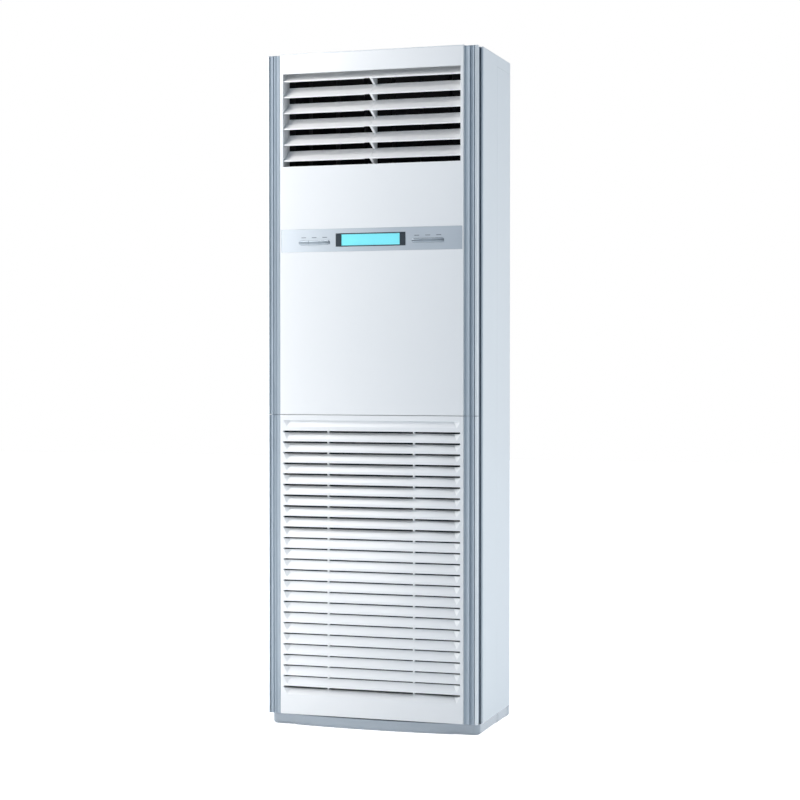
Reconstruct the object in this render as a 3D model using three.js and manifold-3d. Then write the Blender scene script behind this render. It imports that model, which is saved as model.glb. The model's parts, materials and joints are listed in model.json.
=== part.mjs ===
// Floor standing air conditioner: a slim cabinet with a louvred outlet above a control band,
// and a louvred intake panel below it that tilts forward on its foot for the filter.
//
// Millimetres, +Z up. The origin is on the floor under the middle of the cabinet, +X is to the
// right of someone who faces the front, and the front looks along -Y. Depths are measured back
// from the front face of the panels, and depth() turns one into a Y coordinate.

import * as THREE from 'three';
import { mergeVertices } from 'three/addons/utils/BufferGeometryUtils.js';
import Module from 'manifold-3d';

const wasm = await Module();
wasm.setup();

// ---------------------------------------------------------------- driving dimensions

const WIDTH = 600;              // cabinet, side to side
const DEPTH = 342;              // front face of the panels to the back sheet
const HEIGHT = 1827;            // floor to the top plate
const SEAT = 0.3;               // gap between pieces that rest on each other
const SHEET = 1.5;              // folded steel of the casing

const PLINTH_HEIGHT = 30;
const PLINTH_WALL = 14;
const PLINTH_DECK = 6;          // thickness of the plinth's top
const PLINTH_ROUND = 8;         // radius of its lower edge
const PLINTH_CORNER = 20;
const PLINTH_FRONT = 25;        // depth of the corner blocks' faces
const PLINTH_BOW_IN = 78;       // cabinet side to the end of the bowed middle
const PLINTH_BOW_END = 19;      // depth of the bow at its ends
const PLINTH_BOW_MID = 7;       // depth of the bow in the middle
const PLINTH_RAMP = 8;          // width of a slanted step in the outline
const PLINTH_SIDE_STEP = 2;     // each of the two steps along a side
const PLINTH_STEP_FRONT = 207;  // depth of the first step along a side
const PLINTH_STEP_REAR = 39;    // cabinet back to the second one
const PLINTH_REAR_IN = 6;       // cabinet back to the plinth's back
const PLINTH_REAR_CUT = 9;      // slanted rear corners
const PLINTH_HOLE_IN = 60;      // cabinet side to the opening in the deck under the pan
const PLINTH_HOLE_FRONT = 70;
const PLINTH_HOLE_BACK = 42;    // cabinet back to that opening

const TRIM_WIDE = 40;           // cabinet side to the front panels
const PANEL_FOOT = 34;          // bottom edge of the lower panel
const PANEL_SKIN = 3;
const PANEL_EDGE = 2.5;         // rounding of the panels' upright edges
const RETURN_DEPTH = 16;        // how far the panels' folded edges reach back
const RETURN_WALL = 2.2;
const FRAME_LIFT = 3;           // lower panel's edge to the frame behind it
const SEAM_Z = 850;             // middle of the joint between the two panels
const SEAM_GAP = 1.5;

const TRIM_TOP_DROP = 2.5;      // trims end this far below the top plate
const TRIM_IN = 2;              // and this far inside the cabinet side
const TRIM_WALL = 1.8;
const TRIM_BACK = 16.5;
const NOSE_RADIUS = 7.5;

const POST_FRONT = 17;          // depth of the posts' front flange
const POST_GAP = 2;             // front panels to the posts' inner webs
const GROOVE_DEEP = 9;          // cabinet side to the floor of the shadow groove
const POST_WEB_REAR = 66;
const POST_LIP_REAR = 42;
const POST_NOTCH_Z = 50;        // flange cut away below this, round the panel hinge
const POST_SWEEP = 1.5;         // web left in front of the hinge pin there

const SIDE_FRONT = 46;          // depth of the side panels' front edge
const SIDE_EDGE = 5.5;          // width of that edge
const SIDE_FOLD = 10;           // its fold back to the post
const SIDE_SEAM = 190.6;        // depth of the joint between side panel and rear casing
const SIDE_ROUND = 3;
const REAR_ROUND = 12;          // upright rear corners of the cabinet
const FLANGE = 14;              // inward folds beside that joint

const CAP_THICK = 2;
const CAP_SKIRT = 31;
const CAP_TONGUE = 1;           // depth at which the cap's front tongue starts

const BACK_HOLLOW_IN = 75;      // cabinet side to the recesses pressed into the back
const BACK_HOLLOW_DEEP = 3;
const BACK_HOLLOW_LOW = [240, 700];
const BACK_HOLLOW_HIGH = [790, 437]; // its foot, and the top plate to its head
const SERVICE_IN = 85;          // cabinet side to the pipe hole, and to the cable gland
const PIPE_HOLE_Z = 150;
const PIPE_HOLE_R = 38;
const GLAND_Z = 120;
const GLAND_R = 12;

const OPENING_IN = 9.5;         // panel edge to the air outlet
const OPENING_DROP = 54;        // top plate to the air outlet
const OPENING_HEIGHT = 250.5;

const BAND_IN = 4;              // panel edge to the control band
const BAND_DROP = 506;          // top plate to the middle of the band
const BAND_HEIGHT = 62;
const BAND_DEEP = 1.5;
const BAND_SHEET = 1;
const BEZEL_HALF = 98.5;
const BEZEL_HEIGHT = 36;
const BEZEL_PROUD = 0.9;
const BEZEL_RIM = 1;            // how far the bezel's face laps over its hole
const LENS_HALF = 82.5;
const LENS_HEIGHT = 31;
const LENS_DEEP = 1.2;          // depth of the lens behind the bezel's face
const LENS_THICK = 1.6;
const BOARD_DEPTH = 9;
const BOARD_THICK = 1.6;
const BOARD_IN = 34;            // end of the band to the display board
const BOARD_HEIGHT = 50;
const BOARD_POST_R = 3;
const BOARD_POST_IN = 8;        // end of the board to a pillar

const BUTTON_INNER = 116;       // a group of three starts this far from the middle
const BUTTON_PITCH = 29.6;
const BUTTON_HEIGHT = 12.5;
const BUTTON_DROP = 5.5;        // middle of the band to the middle of the buttons
const BUTTON_PROUD = 2.5;
const BUTTON_LIP = 1.5;         // flange behind the panel that keeps a button in
const BUTTON_TRAVEL = 0.8;
const BUTTON_STEM_R = 2.5;

const FRAME_WALL = 3;
const FRAME_SILL = 2.5;         // air outlet to the frame's inner floor
const FRAME_HEAD = 30;          // air outlet to the frame's inner ceiling
const FRAME_REAR = 51;
const MULLION_THICK = 6;
const MULLION_SPINE = 42;       // depth at which the mullion's upright starts

const BLADE_COUNT = 6;
const BLADE_PITCH = 43;
const BLADE_DROP = 21.2;        // top of the air outlet to the top blade's lower edge
const BLADE_LIP_R = 2.3;
const BLADE_THICK = 2;
const BLADE_CHORD = 47;
const BLADE_CAMBER = 2;
const BLADE_TILT = THREE.MathUtils.degToRad(39);
const BLADE_PIVOT = 6.6;        // depth of the blades' pivots
const BLADE_END_GAP = 0.7;
const BLADE_PIN_R = 1.8;
const BLADE_LIP_STRIP = 6.5;    // stretch of a blade in front of the mullion's slit
const BLADE_SLIT_GAP = 0.6;     // slit to mullion, on each side
const BLADE_NOTCH = [-19, -5];  // small cut in each lip beside the mullion
const BLADE_NOTCH_HIGH = 1.6;
const LINK_REACH = 55;          // blade pivot to link pin
const LINK_IN = 7.8;            // inner face of the frame to the link
const LINK_THICK = 2.5;
const LINK_HALF = 3.2;
const LINK_PIN_R = 1.5;
const LUG_THICK = 3;

const VANE_COUNT = 6;
const VANE_IN = 10.5;           // air outlet to the field of the vanes
const VANE_PIVOT = 80;          // depth of the vanes' pivots
const VANE_CHORD = 34;
const VANE_THICK = 2;
const VANE_FOOT_GAP = 12;
const VANE_HEAD_GAP = 6;
const VANE_PIN_R = 2;
const VANE_CRANK = 12;          // pivot to link pin
const VANE_FRAME_REAR = 98;
const VANE_LINK_LIFT = 4.3;     // frame's floor to the link
const VANE_LINK_THICK = 2.7;
const VANE_LINK_HALF = 4;
const MOTOR_CAN_R = 14;
const MOTOR_CAN_HIGH = 18;
const MOTOR_SHAFT_IN = 6;       // how far the first vane's pin reaches into its motor

const DUCT_DROP = 88;           // frame's floor to the duct's lower mouth
const DUCT_IN = 15;             // cabinet side to the duct
const DUCT_BACK = 10;           // cabinet back to the duct
const THROAT_FRONT = 126;       // depth of the front of the duct's lower mouth
const THROAT_BACK = 24;         // cabinet back to the mouth
const DUCT_BEND = 178;          // radius of the curved ceiling

const LOUVRE_IN = 10;           // panel edge to the louvres
const LOUVRE_PITCH = 29;
const LOUVRE_DROP = 14.5;       // joint between the panels to the top pocket
const LOUVRE_FOOT = 47.5;       // panel's lower edge to the louvred field
const LOUVRE_SLOT = 4.6;        // height of an air slot
const LOUVRE_SLOPE = 18;        // height of the sloping face under a slot
const LOUVRE_DEEP = 9;
const LOUVRE_WALL = 2.4;
const LOUVRE_CHEEK = 20;        // width of the slanted ends at the slot
const LOUVRE_DRAW = 10;         // how far the ends draw in at the foot
const RIB_X = 121;
const RIB_THICK = 3.4;

const HINGE_DEPTH = 24;         // pivot of the lower panel
const HINGE_Z = 38;
const HINGE_R = 3;
const HINGE_LUG = 7;
const FILTER_GROW = 1.5;        // the filter is this much wider than the louvres, each side
const FILTER_FRONT = 14.6;
const FILTER_THICK = 5;
const FILTER_LIFT = 36;         // panel's lower edge to the filter
const FILTER_DROP = 18;         // joint between the panels to the filter
const FILTER_BAR = 9;
const RAIL_WALL = 2;

const PAN_SHEET = 2;
const PAN_FRONT = 30;
const PAN_RIM = 12;

const FAN_X = 10;               // fan axis
const FAN_DROP = 340;           // middle deck to the fan axis
const SCROLL_FRONT = 78;
const SCROLL_BACK = 122;        // cabinet back to the fan housing
const SCROLL_WALL = 2.5;
const SCROLL_IN = 112;          // cabinet side to the spiral's start
const SCROLL_GROWTH = 64;       // by which its radius grows
const CUTOFF_ANGLE = 70;        // degrees from +X
const INLET_IN = 23;            // impeller's rim to the hole in the housing
const THROAT_IN = 4;            // impeller's eye to the bell mouth
const RING_FLANGE = 18;         // width of the bell mouth's flange
const IMPELLER_IN = 23;         // spiral's start to the impeller's rim
const IMPELLER_DEEP = 33;       // radial depth of its blades
const IMPELLER_FRONT = 90;
const IMPELLER_BACK = 20;       // fan housing's back to the impeller's
const IMPELLER_BLADES = 22;
const CAGE_RING = 5;            // depth of the rings that hold the blades
const HUB_PLATE = 3.7;          // thickness of the hub's plate
const HUB_DISH_R = 70;          // radius of its coned middle
const HUB_LONG = 34;            // length of its boss
const SHAFT_R = 8;
const FAN_MOTOR_R = 68;
const FAN_MOTOR_GAP = 8;        // fan housing to the motor
const FAN_MOTOR_LONG = 74;
const BRACKET_GAP = 14;         // motor's front to its ring

const DECK_DROP = 110;          // joint between the panels to the deck between fan and coil
const DECK_FRONT = 62.3;
const COVER_DEPTH = 84;         // depth of the plate in front of the coil
const COVER_DROP = 15;          // frame's floor to that plate
const TRAY_IN = 41;             // cabinet side to the drain tray
const TRAY_LIFT = 72;           // deck to the tray
const TRAY_REAR = 175;
const TRAY_HIGH = 34;
const TRAY_WALL = 2.5;
const SPOUT_R = 8;
const HOSE_WALL = 2.5;
const HOSE_END = 60;            // height of the hose's lower end
const SPOUT_IN = [24, 15];      // spout from the tray's right wall and from its rear wall
const COIL_IN = 72;             // cabinet side to the fin block
const COIL_FOOT = 128;          // depth of the middle of the coil's foot
const COIL_HEAD_BACK = 69.8;    // cabinet back to the middle of its head
const COIL_HEAD_GAP = 40;       // duct to the coil, along the coil
const COIL_THICK = 58;
const COIL_PLATE = 4;           // how far the end plates stand past the fins
const COIL_BENDS = 6;
const PIPE_IN = 34;             // cabinet side to the lines
const GAS_PIPE = { radius: 9.5, down: 73, across: -8.2, foot: 170 };
const LIQUID_PIPE = { radius: 5, down: 213.6, across: -7.1, foot: 140 };

const BOX_HALF = 130;           // electric box
const BOX_LIFT = 158;           // deck to the electric box
const BOX_DROP = 91;            // middle of the band to the box
const BOX_FRONT = 30;
const BOX_WALL = 2;

// ---------------------------------------------------------------- derived places

const HALF = WIDTH / 2;
const FRONT_Y = (BUTTON_PROUD - DEPTH) / 2;
const depth = (d) => FRONT_Y + d;
const LOWER_TOP = SEAM_Z - SEAM_GAP / 2;
const UPPER_FOOT = SEAM_Z + SEAM_GAP / 2;
const PANEL_TOP = HEIGHT - CAP_THICK - SEAT;

const PLINTH_REAR = DEPTH - PLINTH_REAR_IN;
const PLINTH_BOW_HALF = HALF - PLINTH_BOW_IN;
const CASE_FOOT = PLINTH_HEIGHT + SEAT;
const PAN_TOP = PLINTH_HEIGHT + SEAT + PAN_SHEET;
const PANEL_HALF = HALF - TRIM_WIDE;
const POST_INNER = PANEL_HALF + POST_GAP;
const POST_OUTER = HALF - GROOVE_DEEP;
const INNER_HALF = HALF - FLANGE - SEAT;
const SERVICE_X = HALF - SERVICE_IN;

const OPENING_HALF = PANEL_HALF - OPENING_IN;
const OPENING_TOP = HEIGHT - OPENING_DROP;
const OPENING_BOTTOM = OPENING_TOP - OPENING_HEIGHT;
const FRAME_HALF = OPENING_HALF + SEAT;
const FRAME_BOTTOM = OPENING_BOTTOM - FRAME_SILL;
const FRAME_TOP = OPENING_TOP + FRAME_HEAD;
const BLADE_HALF = FRAME_HALF - BLADE_END_GAP;
const PIN_HALF = FRAME_HALF + FRAME_WALL - SEAT;
const LINK_X = FRAME_HALF - LINK_IN;
const VANE_PITCH = (2 * (OPENING_HALF - VANE_IN)) / VANE_COUNT;
const VANE_BOTTOM = FRAME_BOTTOM + VANE_FOOT_GAP;
const VANE_TOP = FRAME_TOP - VANE_HEAD_GAP;
const VANE_LINK_Z = FRAME_BOTTOM + VANE_LINK_LIFT;
const DUCT_HALF = HALF - DUCT_IN;
const DUCT_BOTTOM = FRAME_BOTTOM - DUCT_DROP;

const BAND_HALF = PANEL_HALF - BAND_IN;
const BAND_Z = HEIGHT - BAND_DROP;
const BUTTON_Z = BAND_Z - BUTTON_DROP;
const BOARD_HALF = BAND_HALF - BOARD_IN;
const BOARD_PILLARS = [BOARD_HALF - BOARD_POST_IN, BEZEL_HALF + BOARD_POST_IN];

const LOUVRE_HALF = PANEL_HALF - LOUVRE_IN;
const LOUVRE_TOP = SEAM_Z - LOUVRE_DROP;
const LOUVRE_COUNT = Math.round((LOUVRE_TOP - PANEL_FOOT - LOUVRE_FOOT) / LOUVRE_PITCH);
const LOUVRE_REAR = LOUVRE_DEEP + LOUVRE_WALL;
const FILTER_HALF = LOUVRE_HALF + FILTER_GROW;
const FILTER_BOTTOM = PANEL_FOOT + FILTER_LIFT;
const FILTER_TOP = SEAM_Z - FILTER_DROP;

const DECK_Z = SEAM_Z - DECK_DROP;
const DECK_TOP = DECK_Z + PAN_SHEET;
const FAN_Z = DECK_Z - FAN_DROP;
const SCROLL_REAR = DEPTH - SCROLL_BACK;
const SCROLL_START = HALF - SCROLL_IN;
const IMPELLER_R = SCROLL_START - IMPELLER_IN;
const IMPELLER_EYE = IMPELLER_R - IMPELLER_DEEP;
const IMPELLER_REAR = SCROLL_REAR - IMPELLER_BACK;
const INLET_R = IMPELLER_R - INLET_IN;
const THROAT_R = IMPELLER_EYE - THROAT_IN;
const FAN_MOTOR_FRONT = SCROLL_REAR + FAN_MOTOR_GAP;
const FAN_MOTOR_REAR = FAN_MOTOR_FRONT + FAN_MOTOR_LONG;

const TRAY_HALF = HALF - TRAY_IN;
const TRAY_FOOT = DECK_Z + TRAY_LIFT;
const COIL_HALF = HALF - COIL_IN;
const COIL_LENGTH = DUCT_BOTTOM - TRAY_FOOT - COIL_HEAD_GAP;
const COIL_LEAN = Math.asin((DEPTH - COIL_HEAD_BACK - COIL_FOOT) / COIL_LENGTH);
const PIPE_X = PIPE_IN - HALF;
const BOX_BOTTOM = DECK_TOP + BOX_LIFT;
const BOX_TOP = BAND_Z - BOX_DROP;

// ---------------------------------------------------------------- solids and shapes

/** Turns a closed three.js geometry into a solid that can be joined and cut. */
function solid(geometry) {
  const bare = geometry.clone();
  bare.deleteAttribute('normal');
  bare.deleteAttribute('uv');
  const merged = mergeVertices(bare, 1e-4);
  return new wasm.Manifold(new wasm.Mesh({
    numProp: 3,
    vertProperties: new Float32Array(merged.attributes.position.array),
    triVerts: new Uint32Array(merged.index.array),
  }));
}

/** Turns a solid back into a three.js geometry. */
function geometryOf(body) {
  const data = body.getMesh();
  const geometry = new THREE.BufferGeometry();
  geometry.setAttribute('position', new THREE.BufferAttribute(data.vertProperties, 3));
  geometry.setIndex(new THREE.BufferAttribute(data.triVerts, 1));
  geometry.computeVertexNormals();
  return geometry;
}

const join = (first, ...others) => others.reduce((sum, other) => sum.add(other), first);
const cut = (first, ...others) => others.reduce((rest, other) => rest.subtract(other), first);

/** A box between two corners; front and rear are depths. */
function box(x0, x1, front, rear, z0, z1) {
  const geometry = new THREE.BoxGeometry(x1 - x0, rear - front, z1 - z0);
  geometry.translate((x0 + x1) / 2, depth((front + rear) / 2), (z0 + z1) / 2);
  return solid(geometry);
}

function outline(points) {
  return new THREE.Shape(points.map(([a, b]) => new THREE.Vector2(a, b)));
}

function extruded(points, length, basis, shift) {
  const geometry = new THREE.ExtrudeGeometry(outline(points), { depth: length, bevelEnabled: false });
  geometry.applyMatrix4(new THREE.Matrix4().makeBasis(...basis));
  geometry.translate(...shift);
  return solid(geometry);
}

const X_AXIS = new THREE.Vector3(1, 0, 0);
const Y_AXIS = new THREE.Vector3(0, 1, 0);
const Z_AXIS = new THREE.Vector3(0, 0, 1);

/** Extrudes [depth, z] points from x0 to x1. */
const alongX = (points, x0, x1) =>
  extruded(points, x1 - x0, [Y_AXIS, Z_AXIS, X_AXIS], [x0, FRONT_Y, 0]);

/** Extrudes [x, z] points between two depths. */
const alongY = (points, front, rear) =>
  extruded(points, rear - front, [X_AXIS, Z_AXIS, Y_AXIS.clone().negate()], [0, depth(rear), 0]);

/** Extrudes [x, depth] points from z0 to z1. */
const alongZ = (points, z0, z1) =>
  extruded(points, z1 - z0, [X_AXIS, Y_AXIS, Z_AXIS], [0, FRONT_Y, z0]);

/** Points on an arc, from one angle to another in degrees. */
function arc(cx, cy, radius, from, to, steps) {
  return Array.from({ length: steps + 1 }, (_, i) => {
    const angle = THREE.MathUtils.degToRad(from + ((to - from) * i) / steps);
    return [cx + radius * Math.cos(angle), cy + radius * Math.sin(angle)];
  });
}

/** A round rod along X, Y or Z; the centre is [x, depth, z] without the axis's own value. */
function rod(axis, radius, centre, from, to, sides = 12) {
  const geometry = new THREE.CylinderGeometry(radius, radius, to - from, sides);
  const middle = (from + to) / 2;
  if (axis === 'x') geometry.rotateZ(Math.PI / 2).translate(middle, depth(centre[0]), centre[1]);
  if (axis === 'y') geometry.translate(centre[0], depth(middle), centre[1]);
  if (axis === 'z') geometry.rotateX(Math.PI / 2).translate(centre[0], depth(centre[1]), middle);
  return solid(geometry);
}

/** Revolves [radius, depth] points about an axis along Y through x, z. */
function turned(points, x, z, sides) {
  const profile = points.map(([radius, d]) => new THREE.Vector2(radius, d));
  const geometry = new THREE.LatheGeometry(profile, sides);
  geometry.translate(x, FRONT_Y, z);
  const body = solid(geometry);
  return body.volume() < 0 ? solid(flipped(geometry)) : body;
}

function flipped(geometry) {
  const turnedOver = geometry.clone();
  turnedOver.setIndex([...geometry.index.array].reverse());
  return turnedOver;
}

const mirrored = (body) => body.mirror([1, 0, 0]);
const bothSides = (body) => join(body, mirrored(body));

// ---------------------------------------------------------------- materials

const finish = (color, roughness, metalness = 0) =>
  new THREE.MeshStandardMaterial({ color, roughness, metalness });

const MATERIALS = {
  white: finish(0xf2f5f8, 0.25),
  steel: finish(0xe6ebf1, 0.35),
  trim: finish(0x97a6b4, 0.35, 0.8),
  plinth: finish(0x9aa5b0, 0.4, 0.3),
  post: finish(0x39465a, 0.5, 0.5),
  band: finish(0xb9bec4, 0.35, 0.9),
  dark: finish(0x2a2d31, 0.4),
  lens: finish(0x84f4f8, 0.1),
  button: finish(0xa9b0b8, 0.3, 0.8),
  board: finish(0x2f6b45, 0.6),
  black: finish(0x111213, 0.6),
  foam: finish(0x1c1d1f, 0.9),
  zinc: finish(0xb4b9be, 0.45, 0.9),
  fins: finish(0xc3c9cf, 0.4, 0.9),
  copper: finish(0xb87348, 0.35, 1),
  rubber: finish(0x1a1a1a, 0.8),
  hose: finish(0xe8e8e6, 0.6),
  mesh: finish(0x8f9aa6, 0.8),
};

const airConditioner = new THREE.Group();

/** Adds one solid to the model as a named mesh. */
function piece(name, body, material) {
  const mesh = new THREE.Mesh(geometryOf(body), MATERIALS[material]);
  mesh.name = name;
  airConditioner.add(mesh);
}

/** Adds a right-hand solid and its mirror image. */
function pair(name, body, material) {
  piece(name.replace('SIDE', 'right'), body, material);
  piece(name.replace('SIDE', 'left'), mirrored(body), material);
}

// ---------------------------------------------------------------- base

/** Half of the plinth's outline, from the middle of the front to the middle of the back. */
function plinthHalf(inset) {
  const bow = Array.from({ length: 6 }, (_, i) => {
    const x = (PLINTH_BOW_HALF * i) / 5;
    const sag = (x / PLINTH_BOW_HALF) ** 2;
    return [x, PLINTH_BOW_MID + (PLINTH_BOW_END - PLINTH_BOW_MID) * sag + inset];
  });
  const frontX = HALF - 2 * PLINTH_SIDE_STEP;
  const corner = arc(frontX - PLINTH_CORNER, PLINTH_FRONT + PLINTH_CORNER,
    PLINTH_CORNER - inset, -90, 0, 4);
  const steps = [PLINTH_STEP_FRONT, DEPTH - PLINTH_STEP_REAR].flatMap((d, i) => [
    [frontX + i * PLINTH_SIDE_STEP - inset, d],
    [frontX + (i + 1) * PLINTH_SIDE_STEP - inset, d + PLINTH_RAMP],
  ]);
  return [
    ...bow,
    [PLINTH_BOW_HALF + PLINTH_RAMP, PLINTH_FRONT + inset],
    ...corner,
    ...steps,
    [HALF - inset, PLINTH_REAR - PLINTH_REAR_CUT - inset * 0.4],
    [HALF - PLINTH_REAR_CUT - inset * 0.4, PLINTH_REAR - inset],
  ];
}

function plinthOutline(inset) {
  const half = plinthHalf(inset);
  return [...half, ...half.slice(1).reverse().map(([x, y]) => [-x, y])];
}

/** Hollow moulded plinth with a bowed front, stepped sides and a rounded lower edge. */
function plinth() {
  const rounded = new THREE.ExtrudeGeometry(outline(plinthOutline(0)), {
    depth: PLINTH_HEIGHT,
    bevelThickness: PLINTH_ROUND,
    bevelSize: PLINTH_ROUND,
    bevelOffset: -PLINTH_ROUND,
    bevelSegments: 3,
  });
  rounded.translate(0, FRONT_Y, PLINTH_ROUND);
  const skirt = solid(rounded).intersect(box(-WIDTH, WIDTH, -DEPTH, 2 * DEPTH, -1, PLINTH_HEIGHT));
  const hollow = alongZ(plinthOutline(PLINTH_WALL), -1, PLINTH_HEIGHT - PLINTH_DECK);
  const half = HALF - PLINTH_HOLE_IN;
  const hatch = box(-half, half, PLINTH_HOLE_FRONT, DEPTH - PLINTH_HOLE_BACK, 0, PLINTH_HEIGHT + 1);
  return cut(skirt, hollow, hatch);
}

/** Steel floor pan with upturned rims at the sides and the back. */
function basePan() {
  const rear = PLINTH_REAR - SHEET;
  const z0 = PLINTH_HEIGHT + SEAT;
  const rimTop = PAN_TOP + PAN_RIM;
  const rim = box(POST_OUTER - PAN_SHEET, POST_OUTER, POST_WEB_REAR + 4, rear, z0, rimTop);
  const beam = POST_OUTER - FLANGE;
  return join(
    box(-beam, beam, PAN_FRONT, rear, z0, PAN_TOP),
    bothSides(box(beam - 1, POST_OUTER, PAN_FRONT, rear, z0, PAN_TOP)),
    bothSides(rim),
    box(-beam, beam, rear - PAN_SHEET, rear, z0, rimTop),
  ).subtract(bothSides(box(INNER_HALF, WIDTH, SIDE_SEAM - 4, SIDE_SEAM + 4, z0 - 1, rimTop + 1)));
}

// ---------------------------------------------------------------- casing

/** Right corner post: a U of folded sheet whose outer web is the floor of the shadow groove. */
function post() {
  const profile = [
    [POST_INNER, POST_FRONT], [POST_OUTER, POST_FRONT], [POST_OUTER, POST_WEB_REAR],
    [POST_OUTER - SHEET, POST_WEB_REAR], [POST_OUTER - SHEET, POST_FRONT + SHEET],
    [POST_INNER + SHEET, POST_FRONT + SHEET], [POST_INNER + SHEET, POST_LIP_REAR],
    [POST_INNER, POST_LIP_REAR],
  ];
  const channel = alongZ(profile, PAN_TOP + SEAT, PANEL_TOP);
  const notch = box(POST_INNER + SHEET, WIDTH, 0, PAN_FRONT, 0, POST_NOTCH_Z);
  const sweep = box(0, WIDTH, 0, HINGE_DEPTH - HINGE_R - POST_SWEEP, 0, POST_NOTCH_Z);
  const pinHole = rod('x', HINGE_R + SEAT, [HINGE_DEPTH, HINGE_Z], POST_INNER - 2, POST_INNER + 4);
  return cut(channel, notch, sweep, pinHole);
}

/** Front half of the right side: a rounded front edge, folded back to the post, and a flange. */
function sidePanel() {
  const inner = HALF - SHEET;
  const edge = HALF - SIDE_EDGE;
  const fold = SIDE_FRONT + SIDE_FOLD;
  const profile = [
    [edge, SIDE_FRONT],
    ...arc(HALF - SIDE_ROUND, SIDE_FRONT + SIDE_ROUND, SIDE_ROUND, -90, 0, 4),
    [HALF, SIDE_SEAM - SEAT], [HALF - FLANGE, SIDE_SEAM - SEAT],
    [HALF - FLANGE, SIDE_SEAM - SEAT - SHEET], [inner, SIDE_SEAM - SEAT - SHEET],
    ...arc(HALF - SIDE_ROUND, SIDE_FRONT + SIDE_ROUND, SIDE_ROUND - SHEET, 0, -90, 3),
    [edge + SHEET, SIDE_FRONT + SHEET], [edge + SHEET, fold], [POST_OUTER + SEAT, fold],
    [POST_OUTER + SEAT, fold - SHEET], [edge, fold - SHEET],
  ];
  return alongZ(profile, CASE_FOOT, PANEL_TOP);
}

/** Points round the cabinet's right rear corner, from the side to the back. */
const rearCorner = (inset) =>
  arc(HALF - REAR_ROUND, DEPTH - REAR_ROUND, REAR_ROUND - inset, 0, 90, 4);

/** Rear casing: back and rear side halves folded from one sheet, with two pressed recesses. */
function rearCasing() {
  const top = HEIGHT - CAP_SKIRT - SEAT;
  const half = [
    [HALF - FLANGE, SIDE_SEAM + SEAT], [HALF, SIDE_SEAM + SEAT], ...rearCorner(0),
  ];
  const innerHalf = [
    ...rearCorner(SHEET).reverse(), [HALF - SHEET, SIDE_SEAM + SEAT + SHEET],
    [HALF - FLANGE, SIDE_SEAM + SEAT + SHEET],
  ];
  const flip = (points) => points.map(([x, y]) => [-x, y]).reverse();
  const sheet = alongZ([...half, ...flip(half), ...flip(innerHalf), ...innerHalf], CASE_FOOT, top);
  const [foot, drop] = BACK_HOLLOW_HIGH;
  const pressed = [backHollow(...BACK_HOLLOW_LOW), backHollow(foot, HEIGHT - drop)];
  const shell = pressed.reduce((rest, [boss, recess]) => rest.add(boss).subtract(recess), sheet);
  const pipeHole = rod('y', PIPE_HOLE_R, [-SERVICE_X, PIPE_HOLE_Z], DEPTH - 9, DEPTH + 5, 20);
  const glandHole = rod('y', GLAND_R, [SERVICE_X, GLAND_Z], DEPTH - 9, DEPTH + 5, 16);
  return cut(shell, pipeHole, glandHole);
}

/** A recess pressed into the back sheet: the inward boss, and the hollow cut into it. */
function backHollow(z0, z1) {
  const slope = BACK_HOLLOW_DEEP * 2;
  const frustum = (grow, front, rear) => {
    const reach = HALF - BACK_HOLLOW_IN + grow;
    const geometry = new THREE.CylinderGeometry(Math.SQRT1_2, Math.SQRT1_2, 1, 4, 1);
    geometry.rotateY(Math.PI / 4);
    const place = geometry.attributes.position;
    for (let i = 0; i < place.count; i += 1) {
      const outer = place.getY(i) > 0 ? slope : 0;
      place.setXYZ(i, Math.sign(place.getX(i)) * (reach + outer),
        depth(place.getY(i) > 0 ? rear : front),
        Math.sign(place.getZ(i)) * ((z1 - z0) / 2 + grow + outer) + (z0 + z1) / 2);
    }
    return solid(geometry);
  };
  return [
    frustum(SHEET, DEPTH - SHEET - BACK_HOLLOW_DEEP, DEPTH - SHEET / 2),
    frustum(0, DEPTH - BACK_HOLLOW_DEEP, DEPTH + 0.01),
  ];
}

/** Top plate with a skirt round its rear half and a tongue over the front panel. */
function topCap() {
  const half = [
    [PANEL_HALF - SEAT, CAP_TONGUE], [PANEL_HALF - SEAT, POST_FRONT], [POST_OUTER, POST_FRONT],
    [POST_OUTER, SIDE_FRONT], [HALF, SIDE_FRONT], ...rearCorner(0),
  ];
  const plate = alongZ([...half, ...half.map(([x, y]) => [-x, y]).reverse()],
    HEIGHT - CAP_THICK, HEIGHT);
  const flip = (points) => points.map(([x, y]) => [-x, y]).reverse();
  const rim = [[HALF, SIDE_SEAM + SEAT], ...rearCorner(0)];
  const inside = [...rearCorner(SHEET).reverse(), [HALF - SHEET, SIDE_SEAM + SEAT]];
  const skirt = alongZ([...rim, ...flip(rim), ...flip(inside), ...inside],
    HEIGHT - CAP_SKIRT, HEIGHT - CAP_THICK / 2);
  return plate.add(skirt);
}

// ---------------------------------------------------------------- front panels and trims

/** A slab with rounded upright front edges. */
function panelSlab(rear, z0, z1) {
  return alongZ([
    ...arc(PANEL_HALF - PANEL_EDGE, PANEL_EDGE, PANEL_EDGE, -90, 0, 4),
    [PANEL_HALF, rear], [-PANEL_HALF, rear],
    ...arc(-PANEL_HALF + PANEL_EDGE, PANEL_EDGE, PANEL_EDGE, 180, 270, 4),
  ], z0, z1);
}

/** The space between the folded edges behind a panel. */
function panelHollow(z0, z1) {
  const inner = PANEL_HALF - RETURN_WALL;
  return box(-inner, inner, PANEL_SKIN, RETURN_DEPTH + 1, z0 + RETURN_WALL, z1 - RETURN_WALL);
}

/** Round-ended slot shape for a group of three buttons, as [x, z] points. */
function buttonGroup(grow) {
  const radius = BUTTON_HEIGHT / 2 + grow;
  const inner = BUTTON_INNER + BUTTON_HEIGHT / 2;
  const outer = BUTTON_INNER + 3 * BUTTON_PITCH - BUTTON_HEIGHT / 2;
  return [
    ...arc(outer, BUTTON_Z, radius, -90, 90, 6),
    ...arc(inner, BUTTON_Z, radius, 90, 270, 6),
  ];
}

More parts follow.
